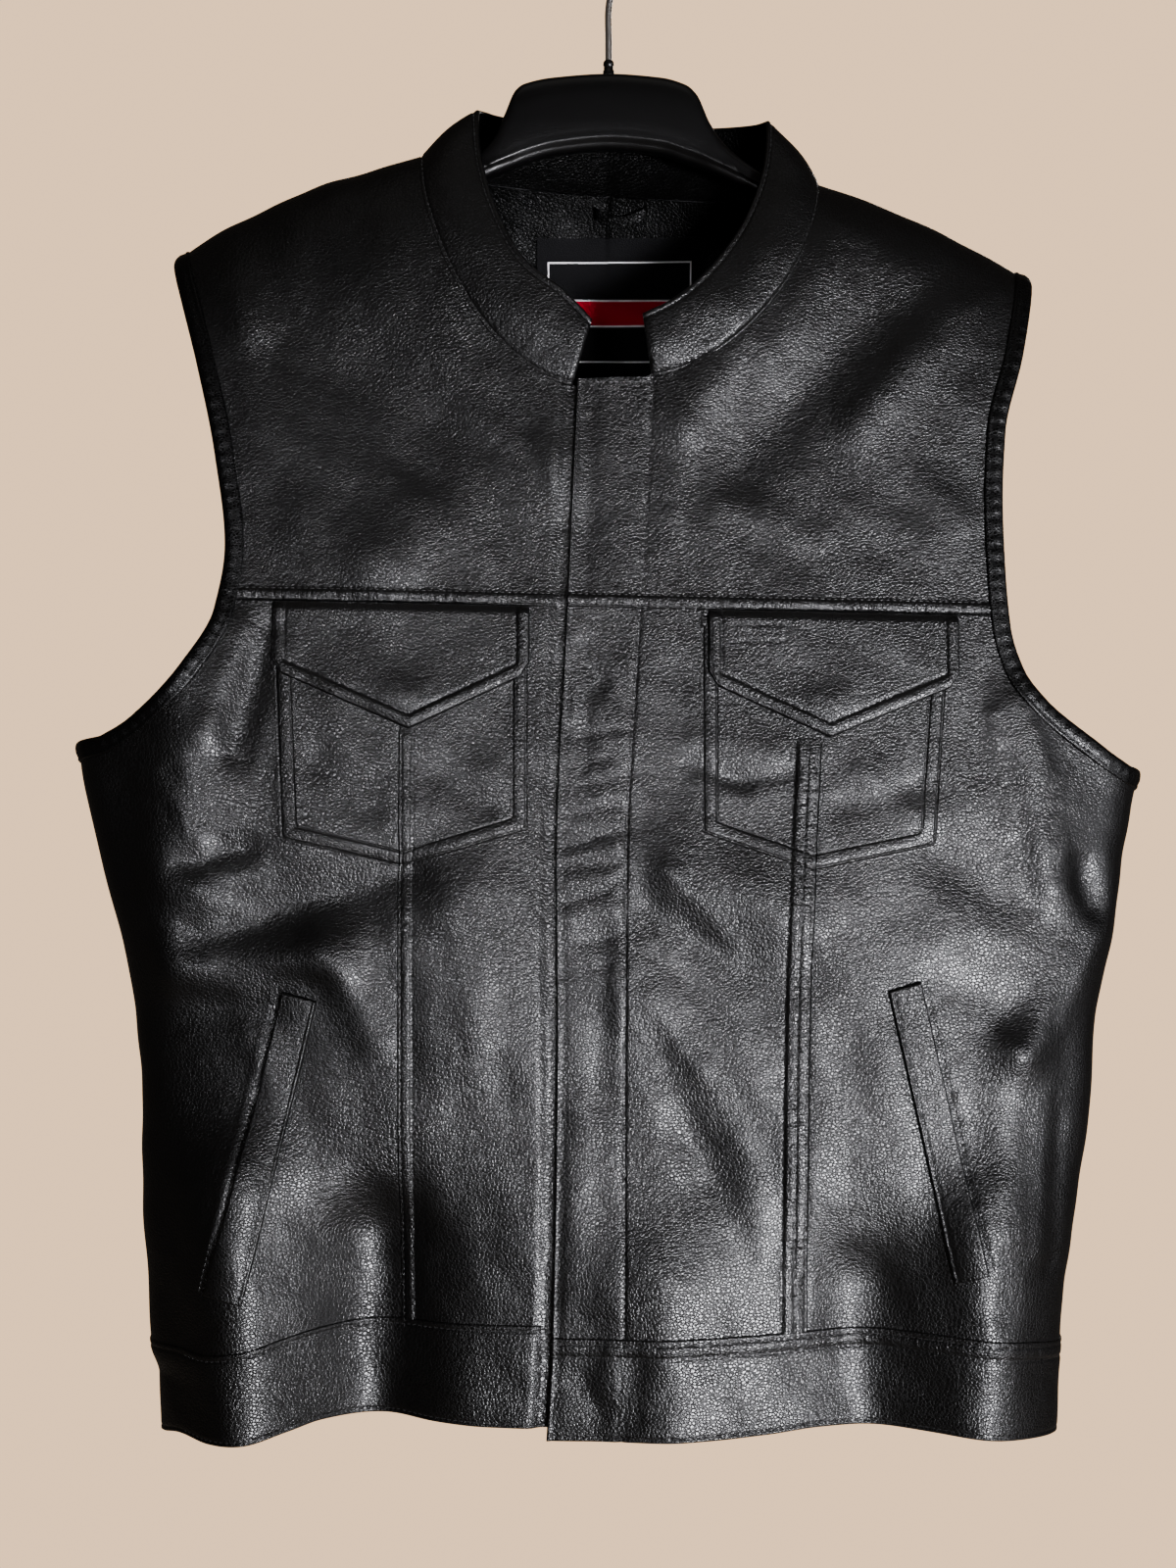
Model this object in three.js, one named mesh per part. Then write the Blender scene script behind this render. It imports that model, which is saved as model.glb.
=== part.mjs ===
// A sleeveless leather vest on a broad clothes hanger, in millimetres.
// +Z is up, -Y is the front, and +X is the wearer's left, which a viewer in front sees on the right.
// The origin is under the crown of the hanger's hook, where a rail carries it.
import * as THREE from "three";

// Leather and seams
const SHELL = 1.6; // front, back and yoke leather with its backing
const DOUBLE = 2.6; // folded and stiffened leather: collar, waistband
const GAP = 0.3; // between pieces that are sewn together
const SEAM_RIDGE = 7; // width of the turned allowance beside a topstitched seam
const RIDGE_RISE = 0.9;
const UNDERLAP = 2.3; // how far the right front lies below the placket
const BAND_PROUD = 0.7;

// Form of the hollow body
const PLAN_ROUND = 4; // 2 is an ellipse in plan, and more is squarer
const SHOULDER_ROUND = 2.2;
const SHOULDER_DROP = 110; // height over which the shoulder reaches its full depth

// Half width from the middle to each side seam, and up to the underarm above it
const BODY_WIDTH = [
  { z: -822, right: 240, left: 240 },
  { z: -790, right: 241, left: 241 },
  { z: -775, right: 246, left: 242 },
  { z: -750, right: 247, left: 244 },
  { z: -700, right: 250, left: 251 },
  { z: -640, right: 251, left: 259 },
  { z: -600, right: 254, left: 261 },
  { z: -560, right: 261, left: 270 },
  { z: -520, right: 272, left: 275 },
  { z: -490, right: 279, left: 281 },
  { z: -460, right: 285, left: 286 },
  { z: -420, right: 289, left: 289 },
  { z: -370, right: 290, left: 290 },
  { z: -100, right: 290, left: 290 },
];

// Depth of the front and the back from the middle plane
const BODY_DEPTH = [
  { z: -822, front: 56, back: 46 },
  { z: -760, front: 57, back: 47 },
  { z: -650, front: 61, back: 48 },
  { z: -560, front: 60, back: 49 },
  { z: -460, front: 55, back: 50 },
  { z: -380, front: 49, back: 49 },
  { z: -300, front: 43, back: 48 },
  { z: -200, front: 37, back: 46 },
  { z: -100, front: 34, back: 44 },
];

// Height of the shoulder seam by its distance from the middle
const SHOULDER = [
  { x: 0, right: -116, left: -119 },
  { x: 100, right: -134.5, left: -146 },
  { x: 120, right: -140.5, left: -152 },
  { x: 155, right: -150.5, left: -165 },
  { x: 193, right: -167, left: -183 },
  { x: 225, right: -185, left: -201 },
  { x: 240, right: -198, left: -214 },
];

// Seam between each armhole's binding and the body, from the shoulder down to the underarm
const ARMHOLE = {
  right: [
    { z: -187, front: 227.5, back: 227.5 },
    { z: -252, front: 208.5, back: 211 },
    { z: -301, front: 198, back: 202 },
    { z: -351, front: 192, back: 197 },
    { z: -386, front: 197, back: 202 },
    { z: -420, front: 216, back: 219 },
    { z: -444.5, front: 241, back: 242 },
    { z: -460, front: 266, back: 266 },
    { z: -467, front: 290, back: 290 },
  ],
  left: [
    { z: -198.5, front: 220.5, back: 220.5 },
    { z: -246.5, front: 210, back: 212 },
    { z: -289.5, front: 199, back: 203 },
    { z: -330, front: 197, back: 201 },
    { z: -365, front: 198, back: 202 },
    { z: -395, front: 200.5, back: 204 },
    { z: -420, front: 208, back: 211 },
    { z: -438, front: 221.5, back: 223 },
    { z: -462, front: 251.5, back: 252 },
    { z: -475.5, front: 272.5, back: 272.5 },
    { z: -482, front: 290, back: 290 },
  ],
};
const YOKE_ROW = 4; // row of either armhole table beside which the yoke seam ends
const ARMHOLE_MIDDLE = { x: 290, z: -320 };
const BINDING = 10.4; // width of the rolled armhole binding
const BINDING_THICK = 5;

// How far the side seam lies in front of the middle plane
const SIDE_SEAM = [
  { z: -822, right: 16, left: 0 },
  { z: -700, right: 20, left: 0 },
  { z: -600, right: 12, left: 0 },
  { z: -500, right: 2, left: 0 },
  { z: -440, right: 0, left: 0 },
];

// Neckline: its front end and its shoulder end
const NECK = {
  right: { endX: -19, endZ: -265, shoulderX: 102 },
  left: { endX: 22, endZ: -260, shoulderX: 114 },
};
const NECK_ROUND = 1.7;

// Seams and edges of the fronts
const YOKE_Z = -383.5;
const YOKE_SLOPE = -0.021;
const YOKE_HEIGHT = 190; // from the yoke seam to the shoulder seam
const BAND_TOP = -761;
const BAND_TOP_SIDE = -772;
const BAND_SWEEP = 245; // distance from the middle at which the band's top is at its side height
const HEM = -811;
const HEM_SIDE = -821;
const HEM_SWEEP = 240;
const HIP = -625; // side seams have more corners above this height
const SEAM_X_RIGHT = -109.5;
const SEAM_LEFT = [
  { z: -775, x: 102.5 },
  { z: -680, x: 103 },
  { z: -600, x: 104 },
  { z: -520, x: 107 },
  { z: -440, x: 111 },
  { z: -380, x: 113 },
];
const PLACKET_EDGE = [
  { z: -820, x: -33 },
  { z: -764, x: -30 },
  { z: -600, x: -27.5 },
  { z: -517, x: -28 },
  { z: -384, x: -22.5 },
  { z: -262, x: -17 },
];
const PLACKET_TOP = -262.5;
const PLACKET_CORNERS = [
  { x: 3, rise: 0.6 },
  { x: 20.5, rise: 1 },
];
const UNDERLAP_TOP = { x: -6, z: -268 }; // top edge of the right front, below the placket
const UNDERLAP_WIDTH = 27; // of the right front, hidden by the placket

// Pocket flaps: width, height of the sides, and the point
const FLAPS = {
  right: { x1: -176.5, x2: -41.7, side1: -416, side2: -418, tipX: -104.6, tipZ: -447.5 },
  left: { x1: 51.4, x2: 182.5, side1: -423, side2: -424, tipX: 114.8, tipZ: -452 },
};
const FLAP_THICK = 2.2;
const FLAP_RIM = 7;
const FLAP_EDGE = 0.5; // how far the rim stands above the rest of the flap
const FLAP_CORNER = 5; // how far the corners beside the point are turned up
const FLAP_UNDER = 0.6; // from the front to the flap that lies on it
const FLAP_CLEAR = -455; // above this height the upright seams lie flat, below the flaps
const SNAP = { bulge: 1.8, wide: 13, high: 11, above: 19 }; // a hidden snap's bulge, above the point

// Slanted welts of the hand pockets: top edge, bottom edge and width
const WELTS = {
  right: { topX: -160.5, topZ: -586, bottomX: -198, bottomZ: -741, width: 18 },
  left: { topX: 152.7, topZ: -581, bottomX: 187.2, bottomZ: -732, width: 17 },
};
const WELT_THICK = 2;
const WELT_UNDER = 1;
const WELT_EDGE = 0.9; // how far a welt thins at its long edges
const WELT_SLOPE = 5; // how much lower a welt's inner edge is than its outer one

// Folds of the front: a soft ridge from one place to another, and a trough where it is negative
const FRONT_FOLDS = [
  { x1: -196, z1: -818, x2: -200, z2: -690, wide: 34, high: 20 },
  { x1: -122, z1: -818, x2: -118, z2: -715, wide: 30, high: -17 },
  { x1: -35, z1: -818, x2: -20, z2: -730, wide: 40, high: 3 },
  { x1: 35, z1: -818, x2: 28, z2: -740, wide: 36, high: 10 },
  { x1: 134, z1: -818, x2: 130, z2: -740, wide: 30, high: -12 },
  { x1: 201, z1: -818, x2: 203, z2: -715, wide: 30, high: 17 },
  { x1: -225, z1: -395, x2: -226, z2: -560, wide: 24, high: 9 },
  { x1: -212, z1: -557, x2: -105, z2: -521, wide: 16, high: -7 },
  { x1: -228, z1: -573, x2: -140, z2: -565, wide: 15, high: 4.5 },
  { x1: -220, z1: -592, x2: -180, z2: -592, wide: 12, high: -2.5 },
  { x1: -222, z1: -517, x2: -190, z2: -510, wide: 8, high: -3 },
  { x1: -190, z1: -396, x2: -211, z2: -448, wide: 10, high: 3 },
  { x1: -181, z1: -396, x2: -196, z2: -460, wide: 9, high: -3 },
  { x1: -77, z1: -542, x2: -72, z2: -603, wide: 28, high: 4 },
  { x1: -149, z1: -562, x2: -121, z2: -608, wide: 12, high: 3 },
  { x1: -164, z1: -237, x2: -60, z2: -323, wide: 28, high: -3 },
  { x1: -120, z1: -354, x2: -38, z2: -308, wide: 28, high: 3 },
  { x1: -205, z1: -208, x2: -188, z2: -232, wide: 14, high: 3 },
  { x1: 25, z1: -543, x2: 71, z2: -571, wide: 13, high: -4 },
  { x1: 27, z1: -613, x2: 53, z2: -678, wide: 16, high: -3 },
  { x1: 40, z1: -522, x2: 91, z2: -542, wide: 20, high: 4 },
  { x1: 9, z1: -578, x2: 40, z2: -629, wide: 20, high: 3 },
  { x1: 173, z1: -512, x2: 203, z2: -536, wide: 14, high: -5 },
  { x1: 193, z1: -581, x2: 203, z2: -597, wide: 14, high: -5 },
  { x1: 213, z1: -437, x2: 235, z2: -527, wide: 14, high: 4 },
  { x1: 258, z1: -559, x2: 217, z2: -614, wide: 13, high: 6 },
  { x1: 215, z1: -620, x2: 208, z2: -681, wide: 17, high: 5 },
  { x1: 248, z1: -520, x2: 256, z2: -541, wide: 9, high: -5 },
  { x1: 122, z1: -182, x2: 41, z2: -281, wide: 18, high: 3 },
  { x1: 144, z1: -222, x2: 72, z2: -310, wide: 18, high: -3 },
  { x1: 188, z1: -222, x2: 134, z2: -284, wide: 16, high: 3 },
];
const BACK_FOLDS = [
  { x1: -150, z1: -818, x2: -140, z2: -660, wide: 34, high: 9 },
  { x1: -60, z1: -818, x2: -66, z2: -690, wide: 32, high: -7 },
  { x1: 35, z1: -818, x2: 30, z2: -640, wide: 36, high: 8 },
  { x1: 120, z1: -818, x2: 128, z2: -700, wide: 30, high: -7 },
  { x1: 190, z1: -818, x2: 180, z2: -620, wide: 28, high: 8 },
  { x1: -170, z1: -440, x2: -60, z2: -560, wide: 26, high: 5 },
  { x1: 175, z1: -450, x2: 70, z2: -545, wide: 26, high: 5 },
  { x1: -205, z1: -480, x2: -110, z2: -600, wide: 20, high: -4 },
  { x1: 210, z1: -500, x2: 120, z2: -610, wide: 20, high: -4 },
];

// Height of the neck seam across the back
const BACK_NECK = [
  { x: -102, z: -135.4 },
  { x: -80, z: -140.5 },
  { x: 0, z: -147 },
  { x: 85, z: -152 },
  { x: 114, z: -150.6 },
];

// Free edge of the collar. Along is 0 and 4 at its front ends, 1 and 3 at the shoulders, 2 at the back.
const COLLAR_EDGE = [
  { along: 0, x: -9, y: -41, z: -231 },
  { along: 0.22, x: -24, y: -41, z: -215.5 },
  { along: 0.46, x: -45, y: -38, z: -198 },
  { along: 0.72, x: -62, y: -27, z: -163 },
  { along: 0.87, x: -69.5, y: -14, z: -131 },
  { along: 1, x: -71, y: -1, z: -108.7 },
  { along: 1.25, x: -66, y: 14, z: -106 },
  { along: 1.6, x: -43, y: 29, z: -106 },
  { along: 2, x: 2, y: 34, z: -109 },
  { along: 2.45, x: 52, y: 28, z: -111 },
  { along: 2.8, x: 81, y: 14, z: -112.5 },
  { along: 3, x: 86.7, y: -1, z: -114.5 },
  { along: 3.15, x: 84, y: -14, z: -139 },
  { along: 3.37, x: 73, y: -28, z: -173 },
  { along: 3.6, x: 50, y: -38, z: -206 },
  { along: 3.86, x: 32, y: -41, z: -221 },
  { along: 4, x: 17.5, y: -41, z: -228 },
];
const COLLAR_LIFT = 0.8; // above the neck seam
const COLLAR_BOW = 2.5;
const COLLAR_MIDDLE = { x: 6, z: -180 };

// Pieces inside the back of the neck
const FACING = { bottom: -258, thick: 1.2 };
const LABEL = { x1: -40, x2: 55, top: -169, bottom: -249, thick: 0.8, clear: 0.2 };
const LOOP = { x: 7, z: -152, width: 30, strap: 6, thick: 1.6, stand: 3.4, sag: 5, clear: 0.4 };

// Hanger: outline and half thickness by the distance from the hook's line
const HANGER = [
  { x: -222, top: 0, bottom: -211, thick: 9 },
  { x: -212, top: 0, bottom: -210, thick: 11 },
  { x: -180, top: 0, bottom: -197, thick: 12 },
  { x: -140, top: 0, bottom: -181, thick: 12 },
  { x: -118, top: 0, bottom: -171, thick: 10 },
  { x: -100, top: -141.5, bottom: -162, thick: 8 },
  { x: -84, top: -136.5, bottom: -155, thick: 7.5 },
  { x: -70, top: -132, bottom: -148.5, thick: 7.5 },
  { x: -62, top: -124, bottom: -145, thick: 8 },
  { x: -56, top: -111, bottom: -142.5, thick: 8 },
  { x: -51, top: -99.5, bottom: -140.5, thick: 8 },
  { x: -46, top: -95.5, bottom: -138.5, thick: 8 },
  { x: -30, top: -92, bottom: -134, thick: 8 },
  { x: 0, top: -90, bottom: -131, thick: 8 },
  { x: 28, top: -92, bottom: -133.5, thick: 8 },
  { x: 42, top: -96, bottom: -138, thick: 8 },
  { x: 48, top: -101.5, bottom: -140, thick: 8 },
  { x: 55, top: -117, bottom: -143, thick: 8 },
  { x: 64, top: -129.5, bottom: -147, thick: 7.5 },
  { x: 80, top: -141.5, bottom: -155, thick: 7.5 },
  { x: 98, top: -150, bottom: -166, thick: 8 },
  { x: 112, top: -156, bottom: -175, thick: 8 },
  { x: 128, top: 0, bottom: -183, thick: 10 },
  { x: 150, top: 0, bottom: -192, thick: 12 },
  { x: 185, top: 0, bottom: -209, thick: 12 },
  { x: 207, top: 0, bottom: -220, thick: 11 },
  { x: 215, top: 0, bottom: -221, thick: 9 },
];
const HANGER_SEAT = 0.75; // below the leather that lies on its arms
const HANGER_END = 7; // rounding of the arms' ends
const WIRE = 1.8; // radius of the hook's wire
const HOOK = 19; // inner radius of the hook
const CROWN = { from: -62, to: 208, parts: 12 }; // degrees round the hook's centre
const FERRULE = { radius: 3.1, bore: 2.1, top: -82, bottom: -90.6 };

const mix = (a, b, t) => a + (b - a) * t;
const clamp = (v, low, high) => Math.min(Math.max(v, low), high);
const signedPower = (v, p) => Math.sign(v) * Math.abs(v) ** p;
const soft = (t) => {
  const c = clamp(t, 0, 1);
  return c * c * (3 - 2 * c);
};
const sideSign = (side) => (side === "left" ? 1 : -1);

// A smooth curve through a table's rows that never overshoots them
function curveOf(table, key, value) {
  const rows = [...table].sort((a, b) => a[key] - b[key]);
  const at = rows.map((row) => row[key]);
  const out = rows.map((row) => row[value]);
  const rise = at.slice(1).map((v, i) => (out[i + 1] - out[i]) / (v - at[i]));
  const slope = out.map((_, i) => {
    if (i === 0) return rise[0];
    if (i === rise.length) return rise[i - 1];
    const both = rise[i - 1] * rise[i];
    return both <= 0 ? 0 : (2 * both) / (rise[i - 1] + rise[i]);
  });
  return (v) => {
    const c = clamp(v, at[0], at[at.length - 1]);
    let i = 0;
    while (i < rise.length - 1 && c > at[i + 1]) i++;
    const span = at[i + 1] - at[i];
    const t = (c - at[i]) / span;
    const keep = (1 + 2 * t) * (1 - t) ** 2;
    const lean = t * (1 - t) ** 2 * slope[i] - t * t * (1 - t) * slope[i + 1];
    return keep * out[i] + (1 - keep) * out[i + 1] + lean * span;
  };
}

const bothSides = (make) => ({ right: make("right"), left: make("left") });
const widthAt = bothSides((side) => curveOf(BODY_WIDTH, "z", side));
const shoulderAt = bothSides((side) => curveOf(SHOULDER, "x", side));
const seamShiftAt = bothSides((side) => curveOf(SIDE_SEAM, "z", side));
const depthAt = { front: curveOf(BODY_DEPTH, "z", "front"), back: curveOf(BODY_DEPTH, "z", "back") };
const leftSeamX = curveOf(SEAM_LEFT, "z", "x");
const placketX = curveOf(PLACKET_EDGE, "z", "x");
const shoulderZ = (side, x) => shoulderAt[side](Math.abs(x));

function foldHeight(folds, x, z) {
  let sum = 0;
  for (const f of folds) {
    const dx = f.x2 - f.x1;
    const dz = f.z2 - f.z1;
    const t = clamp(((x - f.x1) * dx + (z - f.z1) * dz) / (dx * dx + dz * dz), 0, 1);
    const far = (x - f.x1 - t * dx) ** 2 + (z - f.z1 - t * dz) ** 2;
    sum += f.high * Math.exp(-far / f.wide ** 2);
  }
  return sum;
}

// Full depth of the body at a place, folds included
function fullDepth(face, x, z) {
  const folds = face === "front" ? FRONT_FOLDS : BACK_FOLDS;
  return depthAt[face](z) + foldHeight(folds, x, z);
}

const shoulderShare = (side, x, z) =>
  1 - signedPower(1 - Math.min((shoulderZ(side, x) - z) / SHOULDER_DROP, 1), SHOULDER_ROUND);

// Zero on the body's surface, less inside and more outside
function bodyField(side, face, x, y, z) {
  const sideShare = 1 - (Math.abs(x) / widthAt[side](z)) ** PLAN_ROUND;
  const held = signedPower(sideShare, SHOULDER_ROUND / PLAN_ROUND) * shoulderShare(side, x, z);
  return Math.abs(y / fullDepth(face, x, z)) ** SHOULDER_ROUND - held;
}

function bodyNormal(side, face, p) {
  const step = 0.05;
  const along = (dx, dy, dz) =>
    bodyField(side, face, p.x + dx, p.y + dy, p.z + dz) -
    bodyField(side, face, p.x - dx, p.y - dy, p.z - dz);
  return new THREE.Vector3(along(step, 0, 0), along(0, step, 0), along(0, 0, step)).normalize();
}

// Angle round the plan, from 0 at the middle of the front to 180 degrees at the middle of the back
function angleOf(side, face, x, z) {
  const u = clamp((sideSign(side) * x) / widthAt[side](z), -1, 1);
  const angle = Math.atan2(u, (1 - Math.abs(u) ** PLAN_ROUND) ** (1 / PLAN_ROUND));
  return face === "front" ? angle : Math.PI - angle;
}

function planRadius(angle) {
  const c = Math.abs(Math.cos(angle)) ** PLAN_ROUND;
  const s = Math.abs(Math.sin(angle)) ** PLAN_ROUND;
  return (c + s) ** (-1 / PLAN_ROUND);
}

const xOfAngle = (side, angle, z) =>
  sideSign(side) * widthAt[side](z) * planRadius(angle) * Math.sin(angle);

// A point of the body's outer surface with its normal
function bodyPoint(side, angle, z) {
  const x = xOfAngle(side, angle, z);
  const face = Math.cos(angle) >= 0 ? "front" : "back";
  const across = planRadius(angle) * Math.cos(angle);
  const held = Math.max(shoulderShare(side, x, z), 0) ** (1 / SHOULDER_ROUND);
  const y = -fullDepth(face, x, z) * held * across;
  const p = new THREE.Vector3(x, y, z);
  return { p, n: bodyNormal(side, face, p) };
}

const onFront = (side, x, z) => bodyPoint(side, angleOf(side, "front", x, z), z);
const onBack = (side, x, z) => bodyPoint(side, angleOf(side, "back", x, z), z);

// Angle of the side seam at a height
const sideAngle = (side, z) => Math.PI / 2 - seamShiftAt[side](z) / depthAt.front(z);

// Angle of a panel's outer edge: the armhole seam, and the side seam below it
function panelEdge(side, face) {
  const rows = ARMHOLE[side];
  const under = rows[rows.length - 1].z;
  const sign = face === "front" ? 1 : -1;
  const angles = rows.map((row) => ({ z: row.z, angle: angleOf(side, face, sideSign(side) * row[face], row.z) }));
  const seamAngle = curveOf(angles, "z", "angle");
  return (z) => {
    const limit = sideAngle(side, z) - (sign * GAP) / 2 / depthAt[face](z);
    if (z <= under) return limit;
    return face === "front" ? Math.min(seamAngle(z), limit) : Math.max(seamAngle(z), limit);
  };
}

// Heights at even distances along an armhole seam
function evenHeights(side, from, to, count) {
  const edge = panelEdge(side, "front");
  const samples = levels(from, to, 20 * count, "start");
  const points = samples.map((z) => bodyPoint(side, edge(z), z).p);
  const length = [0];
  for (let i = 1; i < points.length; i++) length.push(length[i - 1] + points[i].distanceTo(points[i - 1]));
  const rows = samples.map((z, i) => ({ z, length: length[i] }));
  const heightAt = curveOf(rows, "length", "z");
  return levels(0, length[length.length - 1], count, "even").map(heightAt);
}

// Heights at which the pieces along an armhole and a side seam have their corners
function edgeHeights(side) {
  const rows = ARMHOLE[side];
  const top = shoulderZ(side, rows[0].front);
  const under = rows[rows.length - 1].z;
  const yokeEdge = yokeZ(sideSign(side) * rows[YOKE_ROW].front);
  return {
    yoke: levels(yokeEdge, top, 13, "end"),
    armhole: evenHeights(side, under, yokeEdge, 10),
    side: joined(levels(BAND_TOP_SIDE, HIP, 6, "even"), levels(HIP, under, 12, "even")),
  };
}

// Levels from one number to another, closer together at the start or the end where they are eased
function levels(from, to, count, ease) {
  const curve = {
    even: (t) => t,
    start: (t) => t ** 1.6,
    end: (t) => 1 - (1 - t) ** 1.9,
  }[ease];
  return Array.from({ length: count + 1 }, (_, i) => mix(from, to, curve(i / count)));
}

const joined = (...lists) => lists.flatMap((list, i) => (i ? list.slice(1) : list));

// A closed wall from a grid of outer and inner points
function wallGeometry(outer, inner) {
  const rows = outer.length;
  const columns = outer[0].length;
  const half = rows * columns;
  const positions = [...outer.flat(), ...inner.flat()].flatMap((p) => [p.x, p.y, p.z]);
  const faces = [];
  const quad = (a, b, c, d) => faces.push(a, b, c, a, c, d);
  const at = (j, i) => j * columns + i;
  for (let j = 0; j < rows - 1; j++) {
    for (let i = 0; i < columns - 1; i++) {
      const [a, b, c, d] = [at(j, i), at(j, i + 1), at(j + 1, i + 1), at(j + 1, i)];
      quad(a, b, c, d);
      quad(half + a, half + d, half + c, half + b);
    }
  }
  for (let i = 0; i < columns - 1; i++) {
    quad(at(0, i), half + at(0, i), half + at(0, i + 1), at(0, i + 1));
    quad(at(rows - 1, i + 1), half + at(rows - 1, i + 1), half + at(rows - 1, i), at(rows - 1, i));
  }
  for (let j = 0; j < rows - 1; j++) {
    quad(at(j + 1, 0), half + at(j + 1, 0), half + at(j, 0), at(j, 0));
    const [low, high] = [at(j, columns - 1), at(j + 1, columns - 1)];
    quad(low, half + low, half + high, high);
  }
  return outwards(positions, faces);
}

// A BufferGeometry whose faces point out
function outwards(positions, faces) {
  let volume = 0;
  const corner = (i) => new THREE.Vector3(...positions.slice(3 * i, 3 * i + 3));
  for (let i = 0; i < faces.length; i += 3) {
    const [a, b, c] = [corner(faces[i]), corner(faces[i + 1]), corner(faces[i + 2])];
    volume += a.dot(b.cross(c));
  }
  if (volume < 0) {
    for (let i = 0; i < faces.length; i += 3) [faces[i + 1], faces[i + 2]] = [faces[i + 2], faces[i + 1]];
  }
  const geometry = new THREE.BufferGeometry();
  geometry.setAttribute("position", new THREE.Float32BufferAttribute(positions, 3));
  geometry.setIndex(faces);
  geometry.computeVertexNormals();
  return geometry;
}

// A panel lies between a start and an end angle, and between two lines given by their height over x.
// Each of its rows is spread between the start and the one point where the row meets the outer edge.
function panelOf(spec) {
  const settle = (line, x) => {
    let z = line(0);
    for (let turn = 0; turn < 12; turn++) z = line(x(z));
    return z;
  };
  const outerX = (z) => xOfAngle(spec.side, spec.end(z), z);
  const low = settle(spec.bottom, outerX);
  const high = settle(spec.top, outerX);
  const angleOn = (s, z, t) => mix(spec.start(z), spec.end(mix(low, high, t)), s);
  const meet = (line, s, t) => settle(line, (z) => xOfAngle(spec.side, angleOn(s, z, t), z));
  return { ...spec, low, high, angleOn, meet };
}

// Share of the way across a panel at which a place on its upper or lower line lies
function shareOf(panel, face, { x, z }, t) {
  const from = panel.angleOn(0, z, t);
  return (angleOf(panel.side, face, x, z) - from) / (panel.angleOn(1, z, t) - from);
}

// Columns of a panel between its two lines
const columnsBetween = (panel, shares) =>
  shares.map((s) => ({ s, bottom: panel.meet(panel.bottom, s, 0), top: panel.meet(panel.top, s, 1) }));

// Columns of a panel that end at given places of its upper line
const columnsUnder = (panel, face, stations) =>
  stations.map((place) => {
    const s = shareOf(panel, face, place, 1);
    return { s, bottom: panel.meet(panel.bottom, s, 0), top: place.z };
  });

// Shares of the outer edge's height that bring its corners to given heights
const sharesAt = (panel, heights) => heights.map((z) => (z - panel.low) / (panel.high - panel.low));

// A grid of places on the body, by columns and by shares of their height
function placesOn(panel, columns, shares) {
  return shares.map((t) =>
    columns.map((column) => {
      const z = mix(column.bottom, column.top, t);
      const angle = panel.angleOn(column.s, z, t);
      const place = bodyPoint(panel.side, angle, z);
      const ridge = shoulderZ(panel.side, place.p.x) - z < 0.02;
      if (ridge) place.p.y = Math.cos(angle) > 0 ? -GAP / 2 : GAP / 2;
      return { s: column.s, t, x: place.p.x, z, ...place };
    }),
  );
}

// A wall whose outer face is moved out by raise, and whose inner face by sink, from the body's surface
function wallOn(places, raise, sink) {
  const moved = (by) =>
    places.map((row) => row.map((place) => place.p.clone().addScaledVector(place.n, by(place))));
  return wallGeometry(moved(raise), moved(sink));
}

const yokeZ = (x) => YOKE_Z + YOKE_SLOPE * x;
const bandTopZ = (x) => mix(BAND_TOP, BAND_TOP_SIDE, Math.min(Math.abs(x) / BAND_SWEEP, 1) ** 4);
const hemZ = (x) => mix(HEM, HEM_SIDE, Math.min(Math.abs(x) / HEM_SWEEP, 1) ** 4);

const backNeckZ = curveOf(BACK_NECK, "x", "z");

// A place on the neck seam, by its share of the way from the front end or the middle of the back
function neckPlace(side, face, share) {
  const { endX, endZ, shoulderX } = NECK[side];
  const sign = sideSign(side);
  const turn = (share * Math.PI) / 2;
  if (face === "back") {
    const x = sign * shoulderX * Math.sin(turn);
    return { x, z: share === 1 ? shoulderZ(side, x) : backNeckZ(x) };
  }
  const out = mix(Math.abs(endX), shoulderX, Math.sin(turn) ** (2 / NECK_ROUND));
  const z = mix(shoulderZ(side, shoulderX), endZ, Math.max(Math.cos(turn), 0) ** (2 / NECK_ROUND));
  return { x: sign * out, z };
}

// Places along the shoulder seam, from the neck to the armhole
function shoulderPlaces(side) {
  const end = ARMHOLE[side][0].front;
  return levels(NECK[side].shoulderX, end, 5, "even").map((out) => {
    const x = sideSign(side) * out;
    return { x, z: shoulderZ(side, x) };
  });
}

const NECK_STEPS = 8;
const BACK_NECK_SHARES = [0, 0.22, 0.44, 0.66, 0.84, 1];
const neckShares = levels(0, 1, NECK_STEPS, "even");

// How far a front lies below the body's surface, where it passes under the placket
const underShare = (side, place) => (side === "left" ? 0 : soft((place.x - placketX(place.z) + 10) / 7));

const frontStart = {
  right: (z) => angleOf("right", "front", placketX(z) + UNDERLAP_WIDTH, z),
  left: (z) => angleOf("left", "front", placketX(z), z),
};
const seamX = (side, z) => (side === "right" ? SEAM_X_RIGHT : leftSeamX(z));
const seamAngle = (side, z, shift) =>
  angleOf(side, "front", seamX(side, z) + sideSign(side) * shift, z);

// A front's outer face, raised beside a seam and lowered under the placket
const frontFace = (side, ridge) => (place) => {
  const under = underShare(side, place);
  return (ridge(place) ? RIDGE_RISE : 0) * (1 - under) - UNDERLAP * under;
};
const frontInside = (side) => (place) => -SHELL - UNDERLAP * underShare(side, place);

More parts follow.
